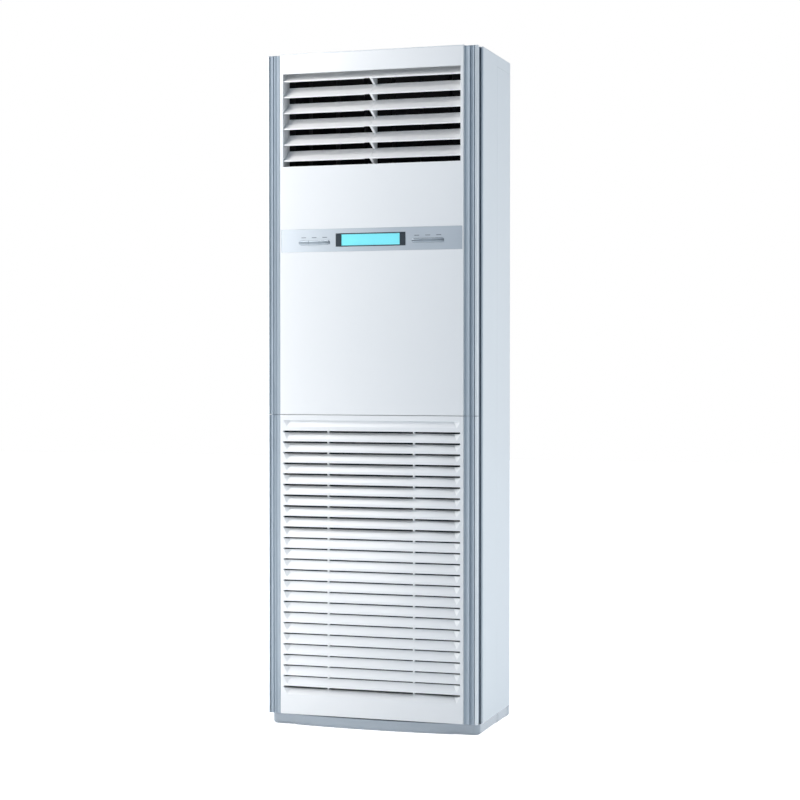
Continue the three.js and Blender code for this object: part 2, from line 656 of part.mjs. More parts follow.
const mirrorPoints = (points) => points.map(([x, z]) => [-x, z]).reverse();

/** Holes for the bezel and the two groups of buttons. */
function bandHoles(front, rear) {
  const half = BEZEL_HALF - BEZEL_RIM;
  const high = BEZEL_HEIGHT / 2 - BEZEL_RIM;
  return join(
    box(-half, half, front, rear, BAND_Z - high, BAND_Z + high),
    alongY(buttonGroup(SEAT), front, rear),
    alongY(mirrorPoints(buttonGroup(SEAT)), front, rear),
  );
}

/** Upper panel: air outlet, recess and holes for the control band, pillars for its board. */
function upperFrontPanel() {
  const low = BAND_Z - BAND_HEIGHT / 2;
  const high = BAND_Z + BAND_HEIGHT / 2;
  const tray = panelSlab(RETURN_DEPTH, UPPER_FOOT, PANEL_TOP)
    .subtract(panelHollow(UPPER_FOOT, PANEL_TOP));
  const outlet = box(-OPENING_HALF, OPENING_HALF, -1, PANEL_SKIN + 1, OPENING_BOTTOM, OPENING_TOP);
  const recess = box(-BAND_HALF, BAND_HALF, -1, BAND_DEEP, low, high);
  const pillars = BOARD_PILLARS.map((x) =>
    bothSides(rod('y', BOARD_POST_R, [x, BAND_Z + BOARD_HEIGHT / 2 - 5], PANEL_SKIN - 0.5,
      BOARD_DEPTH - SEAT, 8)));
  return join(cut(tray, outlet, recess, bandHoles(-1, PANEL_SKIN + 1)), ...pillars);
}

function controlBand() {
  const front = BAND_DEEP - SEAT - BAND_SHEET;
  const half = BAND_HALF - SEAT;
  const high = BAND_HEIGHT / 2 - SEAT;
  const sheet = box(-half, half, front, front + BAND_SHEET, BAND_Z - high, BAND_Z + high);
  return sheet.subtract(bandHoles(-1, PANEL_SKIN));
}

/** Bezel: a thin face over the band and a sleeve through it that holds the lens. */
function displayBezel() {
  const rim = BEZEL_RIM + SEAT;
  const face = box(-BEZEL_HALF, BEZEL_HALF, -BEZEL_PROUD, -0.1,
    BAND_Z - BEZEL_HEIGHT / 2, BAND_Z + BEZEL_HEIGHT / 2);
  const sleeve = box(-BEZEL_HALF + rim, BEZEL_HALF - rim, -0.5, BOARD_DEPTH - SEAT,
    BAND_Z - BEZEL_HEIGHT / 2 + rim, BAND_Z + BEZEL_HEIGHT / 2 - rim);
  const window = box(-LENS_HALF, LENS_HALF, -5, BOARD_DEPTH + 1,
    BAND_Z - LENS_HEIGHT / 2, BAND_Z + LENS_HEIGHT / 2);
  return join(face, sleeve).subtract(window);
}

function displayLens() {
  const half = LENS_HALF - SEAT;
  const high = LENS_HEIGHT / 2 - SEAT;
  const front = LENS_DEEP - BEZEL_PROUD;
  return box(-half, half, front, front + LENS_THICK, BAND_Z - high, BAND_Z + high);
}

function displayBoard() {
  return box(-BOARD_HALF, BOARD_HALF, BOARD_DEPTH, BOARD_DEPTH + BOARD_THICK,
    BAND_Z - BOARD_HEIGHT / 2, BAND_Z + BOARD_HEIGHT / 2);
}

/** One button of the right-hand group: a crowned cap, a flange behind the panel and a stem. */
function button(index) {
  const x0 = BUTTON_INNER + index * BUTTON_PITCH + SEAT / 2;
  const x1 = x0 + BUTTON_PITCH - SEAT;
  const top = BUTTON_HEIGHT / 2;
  const crown = [
    [PANEL_SKIN + SEAT + 1, -top], [-BUTTON_PROUD * 0.3, -top], [-BUTTON_PROUD * 0.8, -top * 0.7],
    [-BUTTON_PROUD, -top * 0.3], [-BUTTON_PROUD, top * 0.3], [-BUTTON_PROUD * 0.8, top * 0.7],
    [-BUTTON_PROUD * 0.3, top], [PANEL_SKIN + SEAT + 1, top],
  ].map(([d, z]) => [d, z + BUTTON_Z]);
  const slice = alongX(crown, x0, x1);
  const cap = slice.intersect(alongY(buttonGroup(0), -5, 10));
  const flange = alongY(buttonGroup(BUTTON_LIP), PANEL_SKIN + SEAT, PANEL_SKIN + SEAT + 1.5)
    .intersect(box(x0 - (index === 0 ? BUTTON_LIP : 0), x1 + (index === 2 ? BUTTON_LIP : 0),
      0, 20, BUTTON_Z - 20, BUTTON_Z + 20));
  const stem = rod('y', BUTTON_STEM_R, [(x0 + x1) / 2, BUTTON_Z], PANEL_SKIN + 1,
    BOARD_DEPTH - BUTTON_TRAVEL - SEAT, 8);
  return join(cap, flange, stem);
}

/** Front contour of the right trim as [x, depth] points, from its inner edge to its nose. */
function trimContour(grow) {
  const inner = PANEL_HALF + SEAT + grow;
  const outer = HALF - TRIM_IN - grow;
  const flute = (x0, x1, edge, deep) => [
    [x0, edge + grow], [x0 + (x1 - x0) * 0.3, edge + deep + grow],
    [x0 + (x1 - x0) * 0.7, edge + deep + grow], [x1, edge + grow],
  ];
  const noseX = outer - NOSE_RADIUS + grow;
  return [
    [inner, 2 + grow],
    ...flute(inner + 1.2, PANEL_HALF + 13, 1.4, 1.8),
    [PANEL_HALF + 16, 1 + grow], [PANEL_HALF + 16.8, 4 + grow], [PANEL_HALF + 19, 4 + grow],
    ...flute(PANEL_HALF + 19.8, PANEL_HALF + 28, 1, 1.4),
    [PANEL_HALF + 28.6, 4.2 + grow], [PANEL_HALF + 30.2, 4.2 + grow],
    ...arc(noseX, NOSE_RADIUS, NOSE_RADIUS - grow, -88, 0, 5),
  ];
}

/** Right trim: a fluted extrusion with a rounded nose, open at the back. */
function trim(z0, z1) {
  const front = trimContour(0);
  const back = trimContour(TRIM_WALL).reverse();
  const profile = [
    [PANEL_HALF + SEAT, TRIM_BACK], ...front,
    [HALF - TRIM_IN, NOSE_RADIUS + 2.5], [POST_OUTER + 1.5, NOSE_RADIUS + 3.2],
    [POST_OUTER + 1.5, TRIM_BACK],
    [POST_OUTER - 0.5, TRIM_BACK], [POST_OUTER - 0.5, NOSE_RADIUS + 1.4],
    ...back, [PANEL_HALF + SEAT + TRIM_WALL, TRIM_BACK],
  ];
  return alongZ(profile, z0, z1);
}

/** The space in front of one louvre, below a level: a wedge with slanted ends. */
function louvrePocket(top) {
  const foot = top - LOUVRE_SLOPE;
  const wedge = alongX([[-1, top], [LOUVRE_DEEP, top], [-0.05, foot], [-1, foot]],
    -LOUVRE_HALF, LOUVRE_HALF);
  return wedge.subtract(bothSides(louvreCheek(top, foot)));
}

/** What the slanted right end takes off that space. */
function louvreCheek(top, foot) {
  const out = LOUVRE_HALF + 10;
  const levels = [[LOUVRE_HALF, top], [LOUVRE_HALF - LOUVRE_DRAW, foot - 1]];
  const points = levels.flatMap(([edge, z]) => [-2, LOUVRE_DEEP + 2].flatMap((d) => [
    [edge - (LOUVRE_CHEEK * d) / LOUVRE_DEEP, depth(d), z], [out, depth(d), z],
  ]));
  return wasm.Manifold.hull(points);
}

/** The three air slots of one louvre, between the ribs. */
function louvreSlots(z) {
  const rib = RIB_THICK / 2;
  const spans = [
    [-LOUVRE_HALF, -RIB_X - rib], [-RIB_X + rib, RIB_X - rib], [RIB_X + rib, LOUVRE_HALF],
  ];
  return spans.map(([x0, x1]) => box(x0, x1, -1, LOUVRE_DEEP + 5, z - LOUVRE_SLOT, z));
}

/** The relief behind one louvre, which leaves its sloping wall. */
function louvreRelief(z, rear) {
  const top = z - LOUVRE_SLOT - LOUVRE_WALL;
  const slope = LOUVRE_DEEP / LOUVRE_SLOPE;
  const high = top - LOUVRE_SLOPE * 0.1;
  const low = z - LOUVRE_PITCH + LOUVRE_WALL;
  const at = (level) => (level - (top - LOUVRE_SLOPE)) * slope + LOUVRE_WALL;
  const points = [[rear + 1, high], [rear + 1, low], [PANEL_SKIN, low], [at(high), high]];
  return alongX(points.reverse(), -LOUVRE_HALF + LOUVRE_CHEEK / 2, LOUVRE_HALF - LOUVRE_CHEEK / 2);
}

/** Lower panel: a skin with the louvred field pressed into it. */
function lowerFrontPanel() {
  const rows = Array.from({ length: LOUVRE_COUNT }, (_, i) => LOUVRE_TOP - i * LOUVRE_PITCH);
  const fieldFoot = rows.at(-1) - LOUVRE_PITCH;
  const half = LOUVRE_HALF + 3;
  let panel = panelSlab(PANEL_SKIN, PANEL_FOOT, LOWER_TOP)
    .add(box(-half, half, 1, LOUVRE_REAR, fieldFoot, LOUVRE_TOP + 3));
  rows.forEach((z, i) => {
    const first = i === 0;
    panel = cut(panel, louvrePocket(first ? z : z - LOUVRE_SLOT), louvreRelief(z, LOUVRE_REAR));
    if (!first) panel = cut(panel, ...louvreSlots(z));
  });
  return panel;
}

/** Frame behind the lower panel's skin: folded edges, filter rails and the two hinge lugs. */
function lowerPanelFrame() {
  const foot = PANEL_FOOT + FRAME_LIFT;
  const front = PANEL_SKIN + SEAT;
  const inner = PANEL_HALF - RETURN_WALL;
  const web = RETURN_DEPTH - RETURN_WALL;
  const bars = [[foot, foot + RETURN_WALL], [LOWER_TOP - RETURN_WALL, LOWER_TOP]]
    .map(([z0, z1]) => box(-PANEL_HALF, PANEL_HALF, front, RETURN_DEPTH, z0, z1));
  const side = join(
    box(inner, PANEL_HALF, front, RETURN_DEPTH, foot, LOWER_TOP),
    box(FILTER_HALF + SEAT, PANEL_HALF, web, RETURN_DEPTH, foot, LOWER_TOP),
    filterRail(web), hingeLug(),
  );
  return join(...bars, bothSides(side));
}

/** Right-hand L-shaped rail for the filter, from the frame's web back, with a stop under it. */
function filterRail(front) {
  const wall = FILTER_HALF + SEAT;
  const back = FILTER_FRONT + FILTER_THICK + SEAT;
  const foot = FILTER_BOTTOM - SEAT;
  return join(
    box(wall, wall + RAIL_WALL, front, back + RAIL_WALL, foot - 4, FILTER_TOP - 30),
    box(wall - 4, wall + RAIL_WALL, back, back + RAIL_WALL, foot - 4, FILTER_TOP - 30),
    box(wall - 12, wall + RAIL_WALL, front, back + RAIL_WALL, foot - 4, foot),
  );
}

/** Right-hand hinge lug at the frame's foot, with the pin that enters the post. */
function hingeLug() {
  const inner = PANEL_HALF - RETURN_WALL;
  const ear = [
    [RETURN_DEPTH - 4, HINGE_Z + 18],
    ...arc(HINGE_DEPTH, HINGE_Z, HINGE_LUG, 50, -90, 6),
    [RETURN_DEPTH - 4, HINGE_Z - 1],
  ].reverse();
  const lug = alongX(ear, inner, PANEL_HALF);
  const pin = rod('x', HINGE_R, [HINGE_DEPTH, HINGE_Z], inner + 0.5, POST_INNER + SHEET + 1);
  return lug.add(pin);
}

/** Lift-out filter: a rim, cross bars and a thin net, in one moulding. */
function airFilter() {
  const rear = FILTER_FRONT + FILTER_THICK;
  const rim = box(-FILTER_HALF, FILTER_HALF, FILTER_FRONT, rear, FILTER_BOTTOM, FILTER_TOP);
  const columns = 3;
  const rows = 5;
  const cellWide = (2 * FILTER_HALF - FILTER_BAR) / columns;
  const cellHigh = (FILTER_TOP - FILTER_BOTTOM - FILTER_BAR) / rows;
  let frame = rim;
  for (let i = 0; i < columns; i += 1) {
    for (let j = 0; j < rows; j += 1) {
      const x = -FILTER_HALF + FILTER_BAR + i * cellWide;
      const z = FILTER_BOTTOM + FILTER_BAR + j * cellHigh;
      frame = frame.subtract(box(x, x + cellWide - FILTER_BAR, FILTER_FRONT - 1, rear - 1,
        z, z + cellHigh - FILTER_BAR));
    }
  }
  return frame;
}

// ---------------------------------------------------------------- air outlet

const bladeLip = (index) => OPENING_TOP - BLADE_DROP - index * BLADE_PITCH;
const bladePivotZ = (index) => bladeLip(index) + BLADE_LIP_R;

/** A point of a blade, s along its chord and n across it, as [depth, z]. */
function onBlade(index, s, n) {
  return [
    BLADE_PIVOT + s * Math.cos(BLADE_TILT) - n * Math.sin(BLADE_TILT),
    bladePivotZ(index) + s * Math.sin(BLADE_TILT) + n * Math.cos(BLADE_TILT),
  ];
}

const bladeCamber = (s) => -BLADE_CAMBER * Math.sin((Math.PI * s) / BLADE_CHORD);

/** Section of a blade: round lip, hollow upper face and a thin rear edge. */
function bladeSection(index) {
  const steps = 3;
  const side = (sign) => Array.from({ length: steps }, (_, i) => {
    const s = 3 + ((BLADE_CHORD - 3) * i) / (steps - 1);
    return onBlade(index, s, bladeCamber(s) + (sign * BLADE_THICK) / 2);
  });
  const lip = arc(0, 0, BLADE_LIP_R, 60, 300, 4).map(([s, n]) => onBlade(index, s, n));
  return [...side(-1), ...side(1).reverse(), ...lip];
}

/** One outlet blade with its end pins, the slit round the mullion and the lug of the link. */
function blade(index) {
  const slit = MULLION_THICK / 2 + BLADE_SLIT_GAP;
  const strip = alongX([
    onBlade(index, BLADE_LIP_STRIP, -9), onBlade(index, BLADE_CHORD + 9, -9),
    onBlade(index, BLADE_CHORD + 9, 9), onBlade(index, BLADE_LIP_STRIP, 9),
  ], -slit, slit);
  const notch = box(BLADE_NOTCH[0], BLADE_NOTCH[1], 0, BLADE_PIVOT + 4,
    bladeLip(index) - 1, bladeLip(index) + BLADE_NOTCH_HIGH);
  const pivot = [BLADE_PIVOT, bladePivotZ(index)];
  const pin = rod('x', BLADE_PIN_R, pivot, BLADE_HALF - 1, PIN_HALF, 8);
  const lug = alongX([
    onBlade(index, BLADE_CHORD - 9, -1), onBlade(index, LINK_REACH, -LINK_HALF),
    onBlade(index, LINK_REACH + LINK_HALF, 0), onBlade(index, LINK_REACH, LINK_HALF),
    onBlade(index, BLADE_CHORD - 9, 1),
  ], LINK_X - SEAT - LUG_THICK, LINK_X - SEAT);
  const linkPin = rod('x', LINK_PIN_R, onBlade(index, LINK_REACH, 0),
    LINK_X - SEAT - LUG_THICK / 2, LINK_X + LINK_THICK + SEAT, 8);
  const wing = alongX(bladeSection(index), -BLADE_HALF, BLADE_HALF);
  return join(cut(wing, strip, notch), bothSides(pin), lug, linkPin);
}

/** Upright bar that keeps the six blades parallel. */
function bladeLink() {
  const ends = [0, BLADE_COUNT - 1].map((i) => onBlade(i, LINK_REACH, 0));
  const [d, top] = ends[0];
  const bottom = ends[1][1];
  const profile = [
    ...arc(d, top, LINK_HALF, 0, 180, 4), ...arc(d, bottom, LINK_HALF, 180, 360, 4),
  ];
  const holes = Array.from({ length: BLADE_COUNT }, (_, i) =>
    rod('x', LINK_PIN_R + SEAT, onBlade(i, LINK_REACH, 0), LINK_X - 1, LINK_X + LINK_THICK + 1, 8));
  return cut(alongX(profile, LINK_X, LINK_X + LINK_THICK), ...holes);
}

/** A rectangular collar round the air path, open at the front and the back. */
function collar(front, rear) {
  const outer = FRAME_HALF + FRAME_WALL;
  return cut(
    box(-outer, outer, front, rear, FRAME_BOTTOM - FRAME_WALL, FRAME_TOP + FRAME_WALL),
    box(-FRAME_HALF, FRAME_HALF, front - 1, rear + 1, FRAME_BOTTOM, FRAME_TOP),
  );
}

/** One tooth of the mullion: it fills a blade's slit and reaches forward under its lip. */
function mullionTooth(index) {
  const z = bladePivotZ(index);
  const tip = BLADE_PIVOT - 0.6;
  const under = z - BLADE_LIP_R - SEAT;
  const face = BLADE_THICK / 2 - 0.2;
  const middle = (BLADE_CHORD + 3) / 2;
  const inSlit = [BLADE_CHORD, middle, BLADE_LIP_STRIP + 2.5]
    .map((s) => onBlade(index, s, bladeCamber(s) + face));
  return [
    [MULLION_SPINE + 1, z - 16], [MULLION_SPINE + 1, inSlit[0][1]], ...inSlit,
    [BLADE_PIVOT + 9, under], [tip, under], [tip, under - 0.8], [BLADE_PIVOT + 25, z - 15],
  ].reverse();
}

/** Outlet frame: collar with bearing holes, and the comb-shaped mullion in the middle. */
function outletFrame() {
  const half = MULLION_THICK / 2;
  const spine = box(-half, half, MULLION_SPINE, FRAME_REAR, FRAME_BOTTOM - 1, FRAME_TOP + 1);
  const indices = Array.from({ length: BLADE_COUNT }, (_, i) => i);
  const teeth = indices.map((i) => alongX(mullionTooth(i), -half, half));
  const outer = FRAME_HALF + FRAME_WALL + 1;
  const holes = indices.map((i) =>
    rod('x', BLADE_PIN_R + SEAT, [BLADE_PIVOT, bladePivotZ(i)], -outer, outer, 8));
  return join(cut(collar(PANEL_SKIN + SEAT, FRAME_REAR), ...holes), spine, ...teeth);
}

const vaneX = (index) => (index - (VANE_COUNT - 1) / 2) * VANE_PITCH;

/** One upright vane with its pivot pins and the pin of the link. */
function vane(index) {
  const x = vaneX(index);
  const half = VANE_CHORD / 2;
  const side = VANE_THICK / 2;
  const wing = alongZ([
    [x, VANE_PIVOT - half], [x + side, VANE_PIVOT - half * 0.4], [x + side, VANE_PIVOT + half * 0.4],
    [x, VANE_PIVOT + half], [x - side, VANE_PIVOT + half * 0.4], [x - side, VANE_PIVOT - half * 0.4],
  ], VANE_BOTTOM, VANE_TOP);
  const reach = index === 0 ? MOTOR_SHAFT_IN : 0;
  const topPin = rod('z', VANE_PIN_R, [x, VANE_PIVOT], VANE_TOP - 1,
    FRAME_TOP + FRAME_WALL - SEAT + reach, 8);
  const lowPin = rod('z', VANE_PIN_R, [x, VANE_PIVOT], FRAME_BOTTOM - FRAME_WALL + SEAT,
    VANE_BOTTOM + 1, 8);
  const linkPin = rod('z', LINK_PIN_R, [x, VANE_PIVOT - VANE_CRANK], VANE_LINK_Z - 1,
    VANE_BOTTOM + 1, 6);
  return join(wing, topPin, lowPin, linkPin);
}

/** Black collar behind the blades, with the holes that the vanes turn in. */
function vaneFrame() {
  const holes = Array.from({ length: VANE_COUNT }, (_, i) =>
    rod('z', VANE_PIN_R + SEAT, [vaneX(i), VANE_PIVOT], FRAME_BOTTOM - 5, FRAME_TOP + 5, 8));
  return cut(collar(FRAME_REAR + SEAT, VANE_FRAME_REAR), ...holes);
}

/** Flat bar that turns the six vanes together. */
function vaneLink() {
  const d = VANE_PIVOT - VANE_CRANK;
  const end = vaneX(VANE_COUNT - 1);
  const profile = [
    ...arc(end, d, VANE_LINK_HALF, -90, 90, 4), ...arc(-end, d, VANE_LINK_HALF, 90, 270, 4),
  ];
  const holes = Array.from({ length: VANE_COUNT }, (_, i) =>
    rod('z', LINK_PIN_R + SEAT, [vaneX(i), d], VANE_LINK_Z - 1, VANE_LINK_Z + VANE_LINK_THICK + 1, 8));
  return cut(alongZ(profile, VANE_LINK_Z, VANE_LINK_Z + VANE_LINK_THICK), ...holes);
}

/** Small stepper motor on the vane frame, over the first vane. */
function vaneMotor() {
  const foot = FRAME_TOP + FRAME_WALL + SEAT;
  const x = vaneX(0);
  const can = rod('z', MOTOR_CAN_R, [x, VANE_PIVOT], foot, foot + MOTOR_CAN_HIGH, 16);
  const ears = box(x - 20, x + 20, VANE_PIVOT - 4, VANE_PIVOT + 4, foot, foot + 1.5);
  const plug = box(x - 8, x + 8, VANE_PIVOT + 8, VANE_FRAME_REAR - 1, foot, foot + 14);
  const bore = rod('z', VANE_PIN_R + SEAT, [x, VANE_PIVOT], foot - 1, foot + MOTOR_SHAFT_IN + 1, 8);
  return join(can, ears, plug).subtract(bore);
}

/** Foam duct that turns the rising air forward to the outlet. */
function outletDuct() {
  const front = VANE_FRAME_REAR + SEAT;
  const top = FRAME_TOP + FRAME_WALL;
  const high = DEPTH - THROAT_BACK;
  const inner = [
    [THROAT_FRONT, DUCT_BOTTOM - 1], [high, DUCT_BOTTOM - 1], [high, FRAME_TOP - DUCT_BEND],
    ...arc(high - DUCT_BEND, FRAME_TOP - DUCT_BEND, DUCT_BEND, 0, 90, 8),
    [front - 1, FRAME_TOP], [front - 1, FRAME_BOTTOM],
    [THROAT_FRONT, FRAME_BOTTOM - DUCT_DROP / 2],
  ];
  const block = box(-DUCT_HALF, DUCT_HALF, front, DEPTH - DUCT_BACK, DUCT_BOTTOM, top);
  return block.subtract(alongX(inner, -FRAME_HALF, FRAME_HALF));
}

// ---------------------------------------------------------------- fan

/** Spiral of the fan housing as [x, z] points, shrunk by a wall, with its neck upward. */
function scrollOutline(wall, top) {
  const turns = 18;
  const spiral = Array.from({ length: turns + 1 }, (_, i) => {
    const t = i / turns;
    const angle = THREE.MathUtils.degToRad(CUTOFF_ANGLE - (CUTOFF_ANGLE + 180) * t);
    const radius = SCROLL_START + SCROLL_GROWTH * t - wall;
    return [FAN_X + radius * Math.cos(angle), FAN_Z + radius * Math.sin(angle)];
  });
  const neckRight = spiral[0][0];
  const neckLeft = spiral.at(-1)[0];
  return [[neckRight, top], ...spiral, [neckLeft, top]].reverse();
}

/** Fan housing: a hollow spiral with an inlet hole, a neck to the deck and two feet. */
function fanScroll() {
  const top = DECK_Z - SEAT;
  const plate = (front) => alongY([
    [-150, PAN_TOP + SEAT], [150, PAN_TOP + SEAT], [110, FAN_Z - 150], [-110, FAN_Z - 150],
  ], front, front + SCROLL_WALL);
  const outer = alongY(scrollOutline(0, top), SCROLL_FRONT, SCROLL_REAR);
  const inner = alongY(scrollOutline(SCROLL_WALL, top + 5), SCROLL_FRONT + SCROLL_WALL,
    SCROLL_REAR - SCROLL_WALL);
  const inlet = rod('y', INLET_R, [FAN_X, FAN_Z], SCROLL_FRONT - 5, SCROLL_FRONT + 10, 24);
  const shaftHole = rod('y', SHAFT_R + 12, [FAN_X, FAN_Z], SCROLL_REAR - 10, SCROLL_REAR + 5, 12);
  return cut(join(outer, plate(SCROLL_FRONT), plate(SCROLL_REAR - SCROLL_WALL)),
    inner, inlet, shaftHole);
}

/** Bell mouth that leads the air into the impeller's eye. */
function inletRing() {
  const flange = SCROLL_FRONT - SEAT;
  const lip = SCROLL_FRONT - 14;
  const rim = INLET_R + RING_FLANGE;
  return turned([
    [rim, flange - 2], [rim, flange], [INLET_R - SEAT * 2, flange],
    [THROAT_R + 2, IMPELLER_FRONT + 4], [THROAT_R, IMPELLER_FRONT + 4],
    [THROAT_R, IMPELLER_FRONT - 4], [THROAT_R + 13, lip], [rim, flange - 2],
  ], FAN_X, FAN_Z, 24);
}

/** One forward-curved impeller blade as [x, z] points. */
function fanBladeSection(angle) {
  const steps = 2;
  const inner = IMPELLER_EYE;
  const outer = IMPELLER_R - 2;
  const sweep = 0.16;
  const edge = (offset) => Array.from({ length: steps + 1 }, (_, i) => {
    const t = i / steps;
    const radius = inner + (outer - inner) * t;
    const turn = angle - sweep * t * t + offset / radius;
    return [FAN_X + radius * Math.cos(turn), FAN_Z + radius * Math.sin(turn)];
  });
  return [...edge(-0.9), ...edge(0.9).reverse()];
}

/** Impeller: a cage of forward-curved blades between a front and a rear ring. */
function impeller() {
  const rear = IMPELLER_REAR - HUB_PLATE - SEAT;
  const ring = (d) => turned([
    [IMPELLER_R - 9, d], [IMPELLER_R, d], [IMPELLER_R, d + CAGE_RING],
    [IMPELLER_R - 9, d + CAGE_RING], [IMPELLER_R - 9, d],
  ], FAN_X, FAN_Z, 24);
  const blades = Array.from({ length: IMPELLER_BLADES }, (_, i) =>
    alongY(fanBladeSection((2 * Math.PI * i) / IMPELLER_BLADES), IMPELLER_FRONT + 2, rear - 2));
  return join(ring(IMPELLER_FRONT), ring(rear - CAGE_RING), ...blades);
}

/** Hub: the plate that carries the cage, its boss, and the shaft pressed into it. */
function fanHub() {
  const front = IMPELLER_REAR - HUB_PLATE;
  const boss = IMPELLER_REAR - HUB_LONG;
  const end = FAN_MOTOR_REAR - 20;
  return turned([
    [0, boss - 10], [SHAFT_R, boss - 10], [SHAFT_R, boss], [SHAFT_R + 12, boss],
    [SHAFT_R + 16, front - 4], [HUB_DISH_R, front], [IMPELLER_R, front],
    [IMPELLER_R, IMPELLER_REAR], [SHAFT_R, IMPELLER_REAR], [SHAFT_R, end], [0, end],
    [0, boss - 10],
  ], FAN_X, FAN_Z, 24);
}

/** Fan motor: body with two stepped end bells, a bore for the shaft, and its mounting. */
function fanMotor() {
  const bore = SHAFT_R + SEAT;
  const front = FAN_MOTOR_FRONT;
  const rear = FAN_MOTOR_REAR;
  const body = turned([
    [bore, front], [26, front], [28, front + 6], [FAN_MOTOR_R - 12, front + 8],
    [FAN_MOTOR_R, front + 14], [FAN_MOTOR_R, rear - 14], [FAN_MOTOR_R - 12, rear - 6],
    [26, rear], [0, rear], [0, rear - 18], [bore, rear - 18], [bore, front],
  ], FAN_X, FAN_Z, 16);
  return join(body, ...motorMounting());
}

/** Ring round the motor and the four arms from it to the back of the fan housing. */
function motorMounting() {
  const inner = FAN_MOTOR_R - 2;
  const face = FAN_MOTOR_FRONT + BRACKET_GAP;
  const ring = turned([
    [inner, face], [inner + 18, face], [inner + 18, face + 4], [inner, face + 4], [inner, face],
  ], FAN_X, FAN_Z, 16);
  const start = SCROLL_REAR + SEAT;
  const arms = [45, 135, 225, 315].map((angle) => {
    const turn = THREE.MathUtils.degToRad(angle);
    const x = FAN_X + (inner + 13) * Math.cos(turn);
    const z = FAN_Z + (inner + 13) * Math.sin(turn);
    return join(
      box(x - 4, x + 4, start, face + 2, z - 4, z + 4),
      box(x - 11, x + 11, start, start + 2, z - 11, z + 11),
    );
  });
  return [ring, ...arms];
}

// ---------------------------------------------------------------- coil chamber

/** Plate between fan and coil, with holes for the fan's neck, the pipes and the drain. */
function middleDeck() {
  const rear = DEPTH - SHEET - SEAT;
  const plate = box(-INNER_HALF, INNER_HALF, DECK_FRONT, rear, DECK_Z, DECK_TOP);
  const neck = scrollOutline(SCROLL_WALL, 0);
  const xs = neck.map(([x]) => x);
  const hole = box(xs.at(0), xs.at(-1), SCROLL_FRONT + SCROLL_WALL, SCROLL_REAR - SCROLL_WALL,
    DECK_Z - 1, DECK_TOP + 1);
  const through = (radius, x, d) => rod('z', radius + SEAT, [x, d], DECK_Z - 1, DECK_TOP + 1);
  const pipes = [GAS_PIPE, LIQUID_PIPE].map((pipe) =>
    through(pipe.radius + 7, PIPE_X, pipeTop(pipe)[0]));
  const drain = through(SPOUT_R + HOSE_WALL, ...spoutPlace());
  const fold = box(-INNER_HALF, INNER_HALF, DECK_FRONT, DECK_FRONT + SHEET, DECK_Z - 14, DECK_Z + 1);
  return join(cut(plate, hole, ...pipes, drain), fold);
}

const spoutPlace = () => [TRAY_HALF - SPOUT_IN[0], TRAY_REAR - SPOUT_IN[1]];

/** Drain tray under the coil's foot, with a spout at its right-hand end. */
function drainTray() {
  const front = COVER_DEPTH + SHEET + SEAT;
  const floor = TRAY_FOOT + TRAY_WALL;
  const outer = box(-TRAY_HALF, TRAY_HALF, front, TRAY_REAR, TRAY_FOOT, TRAY_FOOT + TRAY_HIGH);
  const cavity = box(-TRAY_HALF + TRAY_WALL, TRAY_HALF - TRAY_WALL, front + TRAY_WALL,
    TRAY_REAR - TRAY_WALL, floor, TRAY_FOOT + TRAY_HIGH + 1);
  const spout = rod('z', SPOUT_R, spoutPlace(), TRAY_FOOT - 20, TRAY_FOOT + 1);
  const bore = rod('z', SPOUT_R - 2.5, spoutPlace(), TRAY_FOOT - 25, floor + 1);
  return join(cut(outer, cavity), spout).subtract(bore);
}

/** Direction along the slanted coil and across it, in depth and height. */
const COIL_ALONG = new THREE.Vector2(Math.sin(COIL_LEAN), Math.cos(COIL_LEAN));
const COIL_ACROSS = new THREE.Vector2(-COIL_ALONG.y, COIL_ALONG.x);

/** Height of the middle of the coil's foot, with the end plates' corners on the tray's floor. */
function coilFootZ() {
  const drop = COIL_PLATE * COIL_ALONG.y + (COIL_THICK / 2 + COIL_PLATE) * COIL_ACROSS.y;
  return TRAY_FOOT + TRAY_WALL + SEAT + drop;
}

/** A point of the coil, s along it and n across it, as [depth, z]. */
function onCoil(s, n) {
  return [
    COIL_FOOT + COIL_ALONG.x * s + COIL_ACROSS.x * n,
    coilFootZ() + COIL_ALONG.y * s + COIL_ACROSS.y * n,
  ];
}

/** A return bend at one end of the coil, from the right-hand end plate. */
function coilBend(s) {
  const path = new THREE.CurvePath();
  const radius = 11;
  const points = arc(0, 0, radius, -90, 90, 3).map(([out, n]) => {
    const [d, z] = onCoil(s, n);
    return new THREE.Vector3(COIL_HALF + SHEET + out, depth(d), z);
  });
  const start = points[0].clone().setX(COIL_HALF + 0.5);
  const end = points.at(-1).clone().setX(COIL_HALF + 0.5);
  [start, ...points, end].forEach((point, i, all) => {
    if (i > 0) path.add(new THREE.LineCurve3(all[i - 1], point));
  });
  const tube = outline(arc(0, 0, 4.8, 0, 300, 5));
  return solid(new THREE.ExtrudeGeometry(tube, { steps: 5, extrudePath: path, bevelEnabled: false }));
}

/** Evaporator: fin block, two end plates and the return bends of its tubes. */
function evaporator() {
  const half = COIL_THICK / 2;
  const slab = (grow) => [
    onCoil(-grow, -half - grow), onCoil(COIL_LENGTH + grow, -half - grow),
    onCoil(COIL_LENGTH + grow, half + grow), onCoil(-grow, half + grow),
  ].reverse();
  const ends = bothSides(alongX(slab(COIL_PLATE), COIL_HALF - 1, COIL_HALF + SHEET));
  const pitch = COIL_LENGTH / COIL_BENDS;
  const bends = Array.from({ length: COIL_BENDS }, (_, i) => coilBend(pitch * (i + 0.5)));
  return join(alongX(slab(0), -COIL_HALF, COIL_HALF), ends, ...bends);
}

